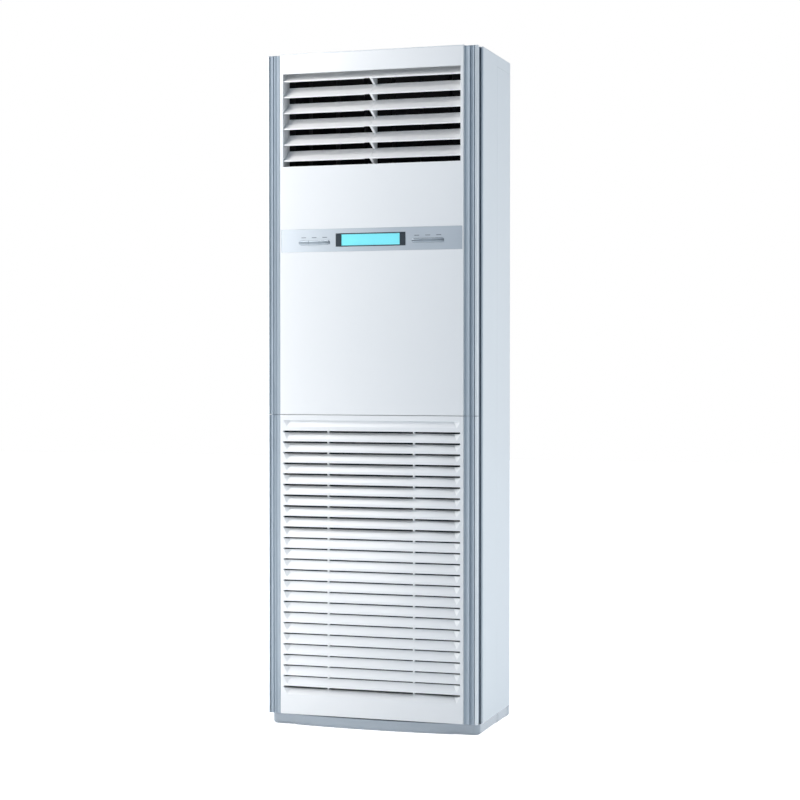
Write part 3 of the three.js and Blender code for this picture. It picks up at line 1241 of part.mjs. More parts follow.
/** Plate that closes the coil chamber in front, with a folded foot. */
function coilCover() {
  const foot = DECK_TOP + SEAT;
  return join(
    box(-INNER_HALF, INNER_HALF, COVER_DEPTH, COVER_DEPTH + SHEET,
      foot, FRAME_BOTTOM - COVER_DROP),
    box(-INNER_HALF, INNER_HALF, COVER_DEPTH - 12, COVER_DEPTH + SHEET, foot, foot + SHEET),
  );
}

/** Where a line leaves the coil, as [depth, z]. */
const pipeTop = (pipe) => onCoil(COIL_LENGTH - pipe.down, pipe.across);

/** A suction or liquid line: down from the coil to a flare nut above the floor pan. */
function pipeLine(pipe) {
  const { radius } = pipe;
  const [d, top] = pipeTop(pipe);
  const nutZ = FAN_Z - pipe.foot;
  const nut = new THREE.CylinderGeometry(radius + 5, radius + 5, 24, 6);
  nut.rotateX(Math.PI / 2).translate(PIPE_X, depth(d), nutZ);
  const inlet = rod('x', radius, [d, top], PIPE_X, -COIL_HALF - SHEET - SEAT);
  const elbow = new THREE.SphereGeometry(radius, 12, 6);
  elbow.translate(PIPE_X, depth(d), top);
  return join(rod('z', radius, [PIPE_X, d], nutZ, top), solid(elbow), inlet, solid(nut));
}

/** Drain hose, pushed over the tray's spout and led down beside the fan. */
function drainHose() {
  const top = TRAY_FOOT - 2;
  const bore = rod('z', SPOUT_R + SEAT, spoutPlace(), HOSE_END - 10, top + 5);
  return rod('z', SPOUT_R + HOSE_WALL, spoutPlace(), HOSE_END, top).subtract(bore);
}

// ---------------------------------------------------------------- electrics and fittings

function electricBox() {
  const rear = COVER_DEPTH - SEAT;
  return cut(
    box(-BOX_HALF, BOX_HALF, BOX_FRONT, rear, BOX_BOTTOM, BOX_TOP),
    box(-BOX_HALF + BOX_WALL, BOX_HALF - BOX_WALL, BOX_FRONT - 1, rear - BOX_WALL,
      BOX_BOTTOM + BOX_WALL, BOX_TOP - BOX_WALL),
  );
}

function electricCover() {
  const lap = BOX_WALL + SEAT;
  return cut(
    box(-BOX_HALF - lap, BOX_HALF + lap, BOX_FRONT - SEAT - BOX_WALL, BOX_FRONT + 10,
      BOX_BOTTOM - lap, BOX_TOP + lap),
    box(-BOX_HALF - SEAT, BOX_HALF + SEAT, BOX_FRONT - SEAT, BOX_FRONT + 11,
      BOX_BOTTOM - SEAT, BOX_TOP + SEAT),
  );
}

/** Rubber ring in the round pipe hole at the back. */
function pipeGrommet() {
  const outer = PIPE_HOLE_R - SEAT;
  return turned([
    [outer - 5, DEPTH - SHEET - 3], [PIPE_HOLE_R + 4, DEPTH - SHEET - 3],
    [PIPE_HOLE_R + 4, DEPTH - SHEET - SEAT], [outer, DEPTH - SHEET - SEAT], [outer, DEPTH],
    [outer - 5, DEPTH], [outer - 5, DEPTH - SHEET - 3],
  ], -SERVICE_X, PIPE_HOLE_Z, 20);
}

/** Power inlet: a gland through the back sheet with a hexagonal nut inside. */
function cableGland() {
  const radius = GLAND_R - SEAT;
  const nut = new THREE.CylinderGeometry(GLAND_R + 6, GLAND_R + 6, 6, 6);
  nut.translate(SERVICE_X, depth(DEPTH - SHEET - SEAT - 3), GLAND_Z);
  const barrel = rod('y', radius, [SERVICE_X, GLAND_Z], DEPTH - 16, DEPTH, 16);
  const bore = rod('y', 5.5, [SERVICE_X, GLAND_Z], DEPTH - 20, DEPTH + 1, 12);
  return join(barrel, solid(nut)).subtract(bore);
}

// ---------------------------------------------------------------- assembly

piece('base_plinth', plinth(), 'plinth');
piece('base_pan', basePan(), 'zinc');
pair('SIDE_post', post(), 'post');
pair('SIDE_side_panel', sidePanel(), 'steel');
piece('rear_casing', rearCasing(), 'steel');
piece('top_cap', topCap(), 'steel');

piece('upper_front_panel', upperFrontPanel(), 'white');
piece('lower_front_panel', lowerFrontPanel(), 'white');
piece('lower_panel_frame', lowerPanelFrame(), 'white');
pair('upper_SIDE_trim', trim(UPPER_FOOT, HEIGHT - TRIM_TOP_DROP), 'trim');
pair('lower_SIDE_trim', trim(PANEL_FOOT, LOWER_TOP), 'trim');
piece('air_filter', airFilter(), 'mesh');

piece('control_band', controlBand(), 'band');
piece('display_bezel', displayBezel(), 'dark');
piece('display_lens', displayLens(), 'lens');
piece('display_board', displayBoard(), 'board');
for (let i = 0; i < 3; i += 1) pair(`SIDE_button_${i + 1}`, button(i), 'button');

piece('outlet_frame', outletFrame(), 'white');
for (let i = 0; i < BLADE_COUNT; i += 1) piece(`blade_${i + 1}`, blade(i), 'white');
piece('blade_link', bladeLink(), 'black');
piece('vane_frame', vaneFrame(), 'black');
for (let i = 0; i < VANE_COUNT; i += 1) piece(`vane_${i + 1}`, vane(i), 'black');
piece('vane_link', vaneLink(), 'black');
piece('vane_motor', vaneMotor(), 'zinc');
piece('outlet_duct', outletDuct(), 'foam');

piece('evaporator_coil', evaporator(), 'fins');
piece('drain_tray', drainTray(), 'black');
piece('coil_cover', coilCover(), 'zinc');
piece('middle_deck', middleDeck(), 'zinc');
piece('gas_pipe', pipeLine(GAS_PIPE), 'copper');
piece('liquid_pipe', pipeLine(LIQUID_PIPE), 'copper');
piece('drain_hose', drainHose(), 'hose');

piece('fan_scroll', fanScroll(), 'zinc');
piece('inlet_ring', inletRing(), 'zinc');
piece('impeller', impeller(), 'zinc');
piece('fan_hub', fanHub(), 'zinc');
piece('fan_motor', fanMotor(), 'dark');

piece('electric_box', electricBox(), 'zinc');
piece('electric_cover', electricCover(), 'zinc');
piece('pipe_grommet', pipeGrommet(), 'rubber');
piece('cable_gland', cableGland(), 'rubber');

export default airConditioner;
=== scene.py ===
"""Studio picture of a floor standing air conditioner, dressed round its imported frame.

Lengths are in metres, in the frame's own place: +Z up, -Y towards the viewer and the origin on
the floor under the cabinet. Each sub-assembly is a class that keeps its sizes as fields, makes
its pieces and gives them their finish.
"""

import json
import logging
import math
from dataclasses import dataclass
from enum import Enum

import bmesh
import bpy
from mathutils import Matrix, Vector


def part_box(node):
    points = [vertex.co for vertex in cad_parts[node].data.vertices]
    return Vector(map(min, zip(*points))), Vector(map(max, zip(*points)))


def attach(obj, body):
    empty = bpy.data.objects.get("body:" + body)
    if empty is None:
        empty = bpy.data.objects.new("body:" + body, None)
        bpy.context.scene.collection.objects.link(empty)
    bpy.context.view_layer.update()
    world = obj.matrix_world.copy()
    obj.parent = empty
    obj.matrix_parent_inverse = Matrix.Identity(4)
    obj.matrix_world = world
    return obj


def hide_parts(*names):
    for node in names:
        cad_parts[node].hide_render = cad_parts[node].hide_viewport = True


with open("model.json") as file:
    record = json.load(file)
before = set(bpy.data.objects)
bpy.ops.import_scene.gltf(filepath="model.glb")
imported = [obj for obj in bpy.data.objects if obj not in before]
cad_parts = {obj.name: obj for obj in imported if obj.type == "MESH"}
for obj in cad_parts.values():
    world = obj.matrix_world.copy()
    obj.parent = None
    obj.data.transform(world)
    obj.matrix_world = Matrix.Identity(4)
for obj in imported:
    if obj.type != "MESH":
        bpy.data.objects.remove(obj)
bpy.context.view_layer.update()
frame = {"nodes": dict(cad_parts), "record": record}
LOG = logging.getLogger("air_conditioner")
MM = 0.001
CREASE = 32.0               # degrees past which an edge stays sharp in the shading
MERGE_REACH = 0.5e-5
FLAT_TURN = 0.5             # degrees by which a flat face's edges may turn
SHORTEST_EDGE = 2.2         # an edge has to be this many roundings long to be rounded

Colour = tuple[float, float, float]
Point = tuple[float, float, float]


# ---------------------------------------------------------------- finishes

COAT_ROUGHNESS = 0.12
CLOUD_DETAIL = 3.0
MARKS_SHARE = 0.45          # fine marks in the mix with the slow change
CLOUD_LOW, CLOUD_HIGH = 0.3, 0.7    # the usual range of that mix


class Grain(Enum):
    """How a surface is marked: the texture node, its output and how far it is stretched."""

    EVEN = ("ShaderNodeTexNoise", "Fac", (1.0, 1.0, 1.0))
    ACROSS = ("ShaderNodeTexNoise", "Fac", (0.012, 1.0, 1.0))
    UPRIGHT = ("ShaderNodeTexNoise", "Fac", (1.0, 1.0, 0.006))
    SPANGLE = ("ShaderNodeTexVoronoi", "Distance", (1.0, 1.0, 1.0))
    FINS = ("ShaderNodeTexWave", "Fac", (1.0, 0.001, 0.001))
    CELLS = ("ShaderNodeTexVoronoi", "Distance", (1.0, 1.0, 1.2))


@dataclass(frozen=True)
class Finish:
    """A surface finish, made as a procedural material on Object coordinates."""

    name: str
    slot: str
    colour: Colour
    roughness: float = 0.4
    metallic: float = 0.0
    coat: float = 0.0
    grain: Grain = Grain.EVEN
    marks_per_metre: float = 700.0
    relief: float = 0.1
    relief_depth: float = 0.0002
    drift: float = 0.03
    cloud_scale: float = 4.0
    roughness_drift: float = 0.04
    glow: float = 0.0

    def material(self) -> bpy.types.Material:
        """Returns the finish's material, made the first time it is asked for."""
        known = bpy.data.materials.get(self.name)
        return known if known else self._make()

    def _make(self) -> bpy.types.Material:
        """Builds the node tree.

        Returns:
            The new material.
        """
        made = bpy.data.materials.new(self.name)
        made.use_nodes = True
        tree = made.node_tree
        shader = tree.nodes["Principled BSDF"]
        shader.inputs["Metallic"].default_value = self.metallic
        shader.inputs["Coat Weight"].default_value = self.coat
        shader.inputs["Coat Roughness"].default_value = COAT_ROUGHNESS
        if self.glow:
            shader.inputs["Emission Color"].default_value = (*self.colour, 1.0)
            shader.inputs["Emission Strength"].default_value = self.glow
        place = tree.nodes.new("ShaderNodeTexCoord")
        marks = self._marks(tree, place)
        cloud = self._cloud(tree, place, marks)
        self._tint(tree, shader, cloud)
        self._polish(tree, shader, cloud)
        self._bump(tree, shader, marks)
        return made

    def _marks(self, tree: bpy.types.NodeTree, place: bpy.types.Node) -> bpy.types.NodeSocket:
        """Adds the fine texture and returns the socket that carries it."""
        kind, output, stretch = self.grain.value
        mapping = tree.nodes.new("ShaderNodeMapping")
        mapping.inputs["Scale"].default_value = stretch
        texture = tree.nodes.new(kind)
        texture.inputs["Scale"].default_value = self.marks_per_metre
        tree.links.new(place.outputs["Object"], mapping.inputs["Vector"])
        tree.links.new(mapping.outputs["Vector"], texture.inputs["Vector"])
        return texture.outputs[output]

    def _cloud(self, tree: bpy.types.NodeTree, place: bpy.types.Node,
               marks: bpy.types.NodeSocket) -> bpy.types.NodeSocket:
        """Mixes a broad, slow change into the marks and returns the mixed socket."""
        slow = tree.nodes.new("ShaderNodeTexNoise")
        slow.inputs["Scale"].default_value = self.cloud_scale
        slow.inputs["Detail"].default_value = CLOUD_DETAIL
        tree.links.new(place.outputs["Object"], slow.inputs["Vector"])
        blend = tree.nodes.new("ShaderNodeMix")
        blend.inputs["Factor"].default_value = MARKS_SHARE
        tree.links.new(slow.outputs["Fac"], blend.inputs["A"])
        tree.links.new(marks, blend.inputs["B"])
        return blend.outputs["Result"]

    def _tint(self, tree: bpy.types.NodeTree, shader: bpy.types.Node,
              cloud: bpy.types.NodeSocket) -> None:
        """Lets the colour wander a little round its mean."""
        ramp = tree.nodes.new("ShaderNodeValToRGB")
        low, high = ramp.color_ramp.elements
        low.position, high.position = CLOUD_LOW, CLOUD_HIGH
        low.color = (*[c * (1 - self.drift) for c in self.colour], 1.0)
        high.color = (*[min(1.0, c * (1 + self.drift)) for c in self.colour], 1.0)
        tree.links.new(cloud, ramp.inputs["Fac"])
        tree.links.new(ramp.outputs["Color"], shader.inputs["Base Color"])

    def _polish(self, tree: bpy.types.NodeTree, shader: bpy.types.Node,
                cloud: bpy.types.NodeSocket) -> None:
        """Lets the roughness wander a little round its mean."""
        spread = tree.nodes.new("ShaderNodeMapRange")
        spread.inputs["From Min"].default_value = CLOUD_LOW
        spread.inputs["From Max"].default_value = CLOUD_HIGH
        spread.inputs["To Min"].default_value = self.roughness - self.roughness_drift
        spread.inputs["To Max"].default_value = self.roughness + self.roughness_drift
        tree.links.new(cloud, spread.inputs["Value"])
        tree.links.new(spread.outputs["Result"], shader.inputs["Roughness"])

    def _bump(self, tree: bpy.types.NodeTree, shader: bpy.types.Node,
              marks: bpy.types.NodeSocket) -> None:
        """Raises the marks a little."""
        bump = tree.nodes.new("ShaderNodeBump")
        bump.inputs["Strength"].default_value = self.relief
        bump.inputs["Distance"].default_value = self.relief_depth
        tree.links.new(marks, bump.inputs["Height"])
        tree.links.new(bump.outputs["Normal"], shader.inputs["Normal"])


WHITE = Finish("glossy_white_moulding", "white", (0.88, 0.895, 0.91), roughness=0.3, coat=0.25,
               marks_per_metre=900, relief=0.05, drift=0.008, roughness_drift=0.03)
# The blades' white is lighter than the panels'. This is partly a whiter moulding and partly
# painted light, making up for the light that the blades above keep off them.
BLADE_WHITE_WITH_PAINTED_LIGHT = Finish("white_blade_moulding_with_painted_light", "white", (0.96, 0.965, 0.97), roughness=0.36,
                     marks_per_metre=900, relief=0.05, drift=0.008)
POWDER = Finish("white_powder_coat", "steel", (0.80, 0.84, 0.875), roughness=0.42, coat=0.1,
                marks_per_metre=1400, relief=0.14, drift=0.01)
ANODISED = Finish("drawn_blue_grey_aluminium", "trim", (0.33, 0.39, 0.45), roughness=0.52,
                  metallic=0.25, grain=Grain.UPRIGHT, marks_per_metre=900, relief=0.08,
                  drift=0.05)
PLINTH_GREY = Finish("satin_grey_plinth", "plinth", (0.30, 0.345, 0.39), roughness=0.24,
                     metallic=0.35, coat=0.3, marks_per_metre=1200, relief=0.05, drift=0.03)
# Painted highlight: a much lighter copy of the trim colour on each trim's outer nose strip,
# standing in for the highlight that its rounded nose catches.
TRIM_PAINTED_HIGHLIGHT = Finish("trim_nose_painted_highlight", "trim", (0.86, 0.90, 0.93), roughness=0.3, metallic=0.1,
              grain=Grain.UPRIGHT, marks_per_metre=900, relief=0.05, drift=0.03)
# Painted shade: the posts' dark paint is partly their own colour and partly the shade of the
# groove between trim and side panel, darker than the occlusion there gives.
GROOVE_PAINTED_SHADE = Finish("post_paint_with_groove_shade", "post", (0.22, 0.27, 0.33), roughness=0.45, metallic=0.2,
                marks_per_metre=800, drift=0.08)
BRUSHED = Finish("brushed_silver_band", "band", (0.50, 0.54, 0.58), roughness=0.34,
                 metallic=0.9, grain=Grain.ACROSS, marks_per_metre=1800, relief=0.1, drift=0.04)
SMOKED = Finish("dark_metallic_bezel", "dark", (0.035, 0.045, 0.055), roughness=0.24,
                metallic=0.4, coat=0.5, marks_per_metre=1500, relief=0.04, drift=0.1)
WINDOW = Finish("lit_cyan_window", "lens", (0.23, 0.84, 0.93), roughness=0.16, coat=0.4,
                marks_per_metre=1200, relief=0.02, drift=0.05, cloud_scale=14, glow=0.16)
CAP_SILVER = Finish("satin_silver_button", "button", (0.27, 0.31, 0.35), roughness=0.32,
                    metallic=0.6, grain=Grain.ACROSS, marks_per_metre=1500, relief=0.06)
PRINT = Finish("grey_printed_mark", "dark", (0.13, 0.15, 0.17), roughness=0.6,
               marks_per_metre=2500, drift=0.1)
BOARD = Finish("green_circuit_board", "board", (0.03, 0.16, 0.07), roughness=0.5, coat=0.2,
               marks_per_metre=500, drift=0.15)
BLACK = Finish("matt_black_moulding", "black", (0.012, 0.012, 0.013), roughness=0.6,
               marks_per_metre=1000, drift=0.15)
FOAM = Finish("black_foam", "foam", (0.012, 0.012, 0.013), roughness=0.95,
              grain=Grain.CELLS, marks_per_metre=600, relief=0.6, relief_depth=0.0008, drift=0.3)
ZINC = Finish("galvanised_sheet", "zinc", (0.50, 0.53, 0.56), roughness=0.42, metallic=0.9,
              grain=Grain.SPANGLE, marks_per_metre=110, relief=0.05, drift=0.12)
FINS = Finish("fin_block", "fins", (0.55, 0.58, 0.62), roughness=0.45, metallic=0.85,
              grain=Grain.FINS, marks_per_metre=250, relief=0.8, relief_depth=0.001, drift=0.1)
COPPER = Finish("drawn_copper", "copper", (0.60, 0.27, 0.14), roughness=0.32, metallic=1.0,
                grain=Grain.UPRIGHT, marks_per_metre=600, drift=0.12)
RUBBER = Finish("black_rubber", "rubber", (0.02, 0.02, 0.02), roughness=0.8,
                marks_per_metre=1500, relief=0.2, drift=0.2)
HOSE = Finish("pale_hose", "hose", (0.7, 0.7, 0.68), roughness=0.55, marks_per_metre=300,
              drift=0.05)
NET = Finish("dark_filter_net", "mesh", (0.03, 0.034, 0.04), roughness=0.85,
             grain=Grain.CELLS, marks_per_metre=900, relief=0.7, relief_depth=0.0005, drift=0.3)
SCREW = Finish("zinc_screw", "zinc", (0.55, 0.57, 0.6), roughness=0.3, metallic=1.0,
               marks_per_metre=1500, drift=0.08)


# ---------------------------------------------------------------- shared shop work


def body_with(node: str) -> str:
    """Returns the name of the body that holds a node."""
    bodies = frame["record"]["behaviour"]["bodies"]
    return next(body for body, nodes in bodies.items() if node in nodes)


def paint(piece: bpy.types.Object, finish: Finish) -> None:
    """Gives an object one finish all over."""
    piece.data.materials.clear()
    piece.data.materials.append(finish.material())


def dress(finish: Finish, *nodes: str) -> None:
    """Gives CAD nodes their finish and leaves their shape alone."""
    for node in nodes:
        paint(frame["nodes"][node], finish)
        LOG.info("dressed %s in %s", node, finish.name)


def settle(mesh: bpy.types.Mesh, crease: float) -> None:
    """Shades a mesh smooth, except at edges that turn by more than the crease in degrees."""
    mesh.polygons.foreach_set("use_smooth", [True] * len(mesh.polygons))
    mesh.set_sharp_from_angle(angle=math.radians(crease))


def add_piece(name: str, work: bmesh.types.BMesh, finish: Finish, body: str,
              crease: float = CREASE) -> bpy.types.Object:
    """Turns a bmesh into a finished piece that rides on a body.

    Args:
        name: The piece's name.
        work: Its mesh, in the frame's place. It is freed.
        finish: Its finish.
        body: The body that it moves with.
        crease: The angle in degrees past which an edge stays sharp.

    Returns:
        The new object.
    """
    mesh = bpy.data.meshes.new(name)
    work.to_mesh(mesh)
    work.free()
    settle(mesh, crease)
    piece = bpy.data.objects.new(name, mesh)
    bpy.context.scene.collection.objects.link(piece)
    weighted = piece.modifiers.new("even_shading", "WEIGHTED_NORMAL")
    weighted.keep_sharp = True
    paint(piece, finish)
    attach(piece, body)
    LOG.info("made %s on %s", name, body)
    return piece


def merged_copy(node: str) -> bmesh.types.BMesh:
    """Returns a node's mesh as a bmesh, merged, with its flat faces in one piece each."""
    work = bmesh.new()
    work.from_mesh(frame["nodes"][node].data)
    bmesh.ops.remove_doubles(work, verts=work.verts, dist=MERGE_REACH)
    bmesh.ops.dissolve_limit(work, angle_limit=math.radians(FLAT_TURN), verts=work.verts,
                             edges=work.edges, use_dissolve_boundaries=False)
    return work


def turn_of(edge: bmesh.types.BMEdge) -> float:
    """Returns the angle in degrees by which the surface turns at an edge."""
    return math.degrees(edge.calc_face_angle(0.0))


def round_edges(work: bmesh.types.BMesh, edges: list[bmesh.types.BMEdge], width: float,
                segments: int = 2) -> None:
    """Rounds edges of a bmesh.

    Args:
        work: The mesh.
        edges: The edges to round.
        width: How far the rounding reaches from the edge.
        segments: The number of faces across it.
    """
    bmesh.ops.bevel(work, geom=edges, offset=width, offset_type="OFFSET", segments=segments,
                    profile=0.5, affect="EDGES", clamp_overlap=False, material=-1)


def rounded(node: str, finish: Finish, width: float, corner: float,
            crease: float = CREASE) -> None:
    """Stands a copy with rounded edges in place of a node.

    Args:
        node: The CAD node.
        finish: The copy's finish.
        width: The rounding's reach.
        corner: Edges that turn by more than this many degrees are rounded.
        crease: The angle in degrees past which an edge stays sharp.
    """
    work = merged_copy(node)
    sharp = [e for e in work.edges if e.is_manifold and turn_of(e) > corner
             and e.calc_length() > SHORTEST_EDGE * width]
    round_edges(work, sharp, width)
    piece = add_piece(f"{node}_shell", work, finish, body_with(node), crease)
    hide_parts(node)


def block(work: bmesh.types.BMesh, low: Point, high: Point) -> list[bmesh.types.BMVert]:
    """Adds a box between two corners to a bmesh.

    Args:
        work: The mesh that takes the box.
        low: Its lowest corner.
        high: Its highest corner.

    Returns:
        The box's vertices.
    """
    size = Vector(high) - Vector(low)
    place = Matrix.Translation((Vector(low) + Vector(high)) / 2) @ Matrix.Diagonal((*size, 1.0))
    return bmesh.ops.create_cube(work, size=1.0, matrix=place)["verts"]


# ---------------------------------------------------------------- the casing


@dataclass
class Casing:
    """Plinth, posts, side panels, rear casing and top cap."""

    edge: float = 0.5 * MM
    corner: float = 40.0                      # degrees past which an edge is rounded
    plinth_edge: float = 0.8 * MM
    plinth_crease: float = 9.0                # keeps its slanted steps crisp
    side_edge: float = 0.3 * MM
    side_corner: float = 50.0
    screw_head: float = 4.0 * MM
    screw_high: float = 1.8 * MM
    screw_sides: int = 16
    screw_taper: float = 0.6                  # the head's outer radius over its inner one
    recess_rim: float = 0.35                  # rim round the recess, over the head's radius
    recess_deep: float = 0.4                  # over the head's height
    back_screws_x: float = 0.282
    back_screw_levels: tuple[float, ...] = (0.06, 0.22, 0.745, 1.42, 1.765)
    cap_screws_x: tuple[float, ...] = (-0.2, 0.0, 0.2)
    cap_screw_drop: float = 17.0 * MM

    def build(self) -> None:
        """Makes the casing's pieces."""
        rounded("base_plinth", PLINTH_GREY, self.plinth_edge, self.corner,
                crease=self.plinth_crease)
        for side in ("left", "right"):
            rounded(f"{side}_side_panel", POWDER, self.side_edge, self.side_corner)
        rounded("rear_casing", POWDER, self.edge, self.corner)
        rounded("top_cap", POWDER, self.edge, self.corner)
        # the posts in the groove take the dark paint that partly stands in for the groove's shade
        dress(GROOVE_PAINTED_SHADE, "left_post", "right_post")
        dress(ZINC, "base_pan")
        self._screws()

    def _screws(self) -> None:
        """Drives the screws that hold the rear casing and the cap at the back."""
        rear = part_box("rear_casing")[1].y
        work = bmesh.new()
        for z in self.back_screw_levels:
            for x in (-self.back_screws_x, self.back_screws_x):
                self._screw(work, Vector((x, rear, z)))
        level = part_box("top_cap")[1].z - self.cap_screw_drop
        for x in self.cap_screws_x:
            self._screw(work, Vector((x, rear, level)))
        add_piece("casing_screws", work, SCREW, "cabinet")

    def _screw(self, work: bmesh.types.BMesh, place: Vector) -> None:
        """Adds one pan-head screw with a round recess, its head towards the back.

        Args:
            work: The mesh that takes the screw.
            place: The middle of the head's underside.
        """
        outward = Matrix.Rotation(math.pi / 2, 4, "X").inverted()
        lift = Matrix.Translation((0, 0, self.screw_high / 2))
        fresh = bmesh.ops.create_cone(work, cap_ends=True, segments=self.screw_sides,
                                      radius1=self.screw_head,
                                      radius2=self.screw_head * self.screw_taper,
                                      depth=self.screw_high,
                                      matrix=Matrix.Translation(place) @ outward @ lift)
        top = max(fresh["verts"], key=lambda vert: vert.co.y)
        face = max(top.link_faces, key=lambda side: len(side.verts))
        bmesh.ops.inset_region(work, faces=[face], thickness=self.screw_head * self.recess_rim)
        bmesh.ops.translate(work, verts=face.verts,
                            vec=Vector((0, -self.screw_high * self.recess_deep, 0)))


# ---------------------------------------------------------------- front panels


@dataclass
class FrontPanels:
    """The two white panels and the four fluted trims beside them."""

    side_round: float = 1.4 * MM              # upright edges beside the trims
    side_segments: int = 4
    panel_edge: float = 0.3 * MM
    panel_corner: float = 24.0                # degrees past which an edge is rounded
    flute_round: float = 0.55 * MM
    flute_segments: int = 3
    flute_corner: float = 12.0
    flute_crease: float = 40.0
    flute_length: float = 50.0 * MM           # shorter edges are the cut ends'
    # width of the outer nose strip that carries the painted highlight
    highlight_strip_wide: float = 7.3 * MM

    def build(self) -> None:
        """Makes the panels and trims."""
        for level in ("upper", "lower"):
            self._panel(f"{level}_front_panel")
        for level in ("upper", "lower"):
            for side in ("left", "right"):
                self._trim(f"{level}_{side}_trim")
        dress(WHITE, "lower_panel_frame")
        dress(NET, "air_filter")

    def _panel(self, node: str) -> None:
        """Rounds a panel: widely beside the trims, finely round its openings.

        Args:
            node: The panel's CAD node.
        """
        work = merged_copy(node)
        low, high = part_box(node)

        def beside_trim(edge: bmesh.types.BMEdge) -> bool:
            """Tells whether an edge is one of the two upright front corners."""
            middle = (edge.verts[0].co + edge.verts[1].co) / 2
            return (abs(middle.x) > high.x - self.panel_edge
                    and abs(edge.verts[0].co.z - edge.verts[1].co.z) > self.side_round
                    and middle.y < low.y + 2 * self.side_round)

        def sharp_edges() -> list[bmesh.types.BMEdge]:
            """Lists the edges that turn enough to be rounded."""
            return [e for e in work.edges if e.is_manifold and turn_of(e) > self.panel_corner]

        fine = [e for e in sharp_edges() if not beside_trim(e)
                and e.calc_length() > SHORTEST_EDGE * self.panel_edge]
        round_edges(work, fine, self.panel_edge)
        wide = [e for e in sharp_edges() if beside_trim(e)]
        round_edges(work, wide, self.side_round, self.side_segments)
        piece = add_piece(f"{node}_shell", work, WHITE, body_with(node))
        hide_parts(node)

    def _trim(self, node: str) -> None:
        """Rounds a trim's flutes along their length and paints a highlight on its outer nose
        strip.

        Args:
            node: The trim's CAD node.
        """
        work = merged_copy(node)
        upright = [e for e in work.edges if e.is_manifold and turn_of(e) > self.flute_corner
                   and abs(e.verts[0].co.z - e.verts[1].co.z) > self.flute_length]
        round_edges(work, upright, self.flute_round, self.flute_segments)
        highlight_start = max(abs(v.co.x) for v in work.verts) - self.highlight_strip_wide
        piece = add_piece(f"{node}_extrusion", work, ANODISED, body_with(node),
                          self.flute_crease)
        # the outer nose strip gets the painted highlight, a lighter copy of the trim colour
        piece.data.materials.append(TRIM_PAINTED_HIGHLIGHT.material())
        for face in piece.data.polygons:
            face.material_index = int(abs(face.center.x) > highlight_start)
        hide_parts(node)


# ---------------------------------------------------------------- control band


@dataclass
class ControlBand:
    """Silver band, display and the two groups of three buttons."""

    corner: float = 40.0                      # degrees past which an edge is rounded
    band_edge: float = 0.15 * MM
    bezel_edge: float = 0.25 * MM
    lens_edge: float = 0.2 * MM
    button_edge: float = 0.6 * MM
    button_corner: float = 20.0
    mark_wide: float = 14.0 * MM
    mark_high: float = 2.0 * MM
    mark_thick: float = 0.12 * MM
    mark_round: float = 0.4                   # rounding of its ends, over its height
    mark_segments: int = 3
    mark_lift: float = 12.6 * MM              # from the middle of the buttons to the marks

    def build(self) -> None:
        """Makes the band's pieces."""
        rounded("control_band", BRUSHED, self.band_edge, self.corner)
        rounded("display_bezel", SMOKED, self.bezel_edge, self.corner)
        rounded("display_lens", WINDOW, self.lens_edge, self.corner)
        for side in ("left", "right"):
            for number in (1, 2, 3):
                rounded(f"{side}_button_{number}", CAP_SILVER, self.button_edge,
                        self.button_corner)
        dress(BOARD, "display_board")
        self._marks()

    def _marks(self) -> None:
        """Prints one plain dash over each button."""
        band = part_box("control_band")[0].y
        work = bmesh.new()
        for side in ("left", "right"):
            for number in (1, 2, 3):
                low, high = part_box(f"{side}_button_{number}")
                x = (low.x + high.x) / 2
                z = (low.z + high.z) / 2 + self.mark_lift
                verts = block(work, (x - self.mark_wide / 2, band - self.mark_thick, z),
                              (x + self.mark_wide / 2, band, z + self.mark_high))
                ends = {e for v in verts for e in v.link_edges
                        if abs(e.verts[0].co.y - e.verts[1].co.y) > self.mark_thick / 2}
                round_edges(work, list(ends), self.mark_high * self.mark_round,
                            self.mark_segments)
        add_piece("button_marks", work, PRINT, "cabinet")


# ---------------------------------------------------------------- air outlet


@dataclass
class AirOutlet:
    """Outlet frame with its blades in front, and the vanes and duct behind."""

    blades: int = 6
    vanes: int = 6
    frame_edge: float = 0.3 * MM
    frame_corner: float = 40.0                # degrees past which an edge is rounded
    blade_edge: float = 0.3 * MM
    vane_edge: float = 0.25 * MM
    blade_corner: float = 50.0

    def build(self) -> None:
        """Makes the outlet's pieces."""
        # frame and blades take the lighter white, which is partly painted light
        rounded("outlet_frame", BLADE_WHITE_WITH_PAINTED_LIGHT, self.frame_edge, self.frame_corner)
        for number in range(1, self.blades + 1):
            rounded(f"blade_{number}", BLADE_WHITE_WITH_PAINTED_LIGHT, self.blade_edge, self.blade_corner)
        dress(BLACK, "blade_link", "vane_frame", "vane_link")
        for number in range(1, self.vanes + 1):
            rounded(f"vane_{number}", BLACK, self.vane_edge, self.blade_corner)
        dress(ZINC, "vane_motor")
        dress(FOAM, "outlet_duct")


# ---------------------------------------------------------------- inside


@dataclass
class Inside:
    """Coil, fan, pipes and electrics."""

    corner: float = 40.0                      # degrees past which an edge is rounded
    grommet_edge: float = 0.5 * MM
    gland_edge: float = 0.4 * MM

    def build(self) -> None:
        """Gives the inner parts their finish."""
        dress(FINS, "evaporator_coil")
        dress(BLACK, "drain_tray")
        dress(ZINC, "coil_cover", "middle_deck", "fan_scroll", "inlet_ring", "impeller",
              "fan_hub", "electric_box", "electric_cover")
        dress(COPPER, "gas_pipe", "liquid_pipe")
        dress(HOSE, "drain_hose")
        dress(SMOKED, "fan_motor")
        rounded("pipe_grommet", RUBBER, self.grommet_edge, self.corner)
        rounded("cable_gland", RUBBER, self.gland_edge, self.corner)


# ---------------------------------------------------------------- studio


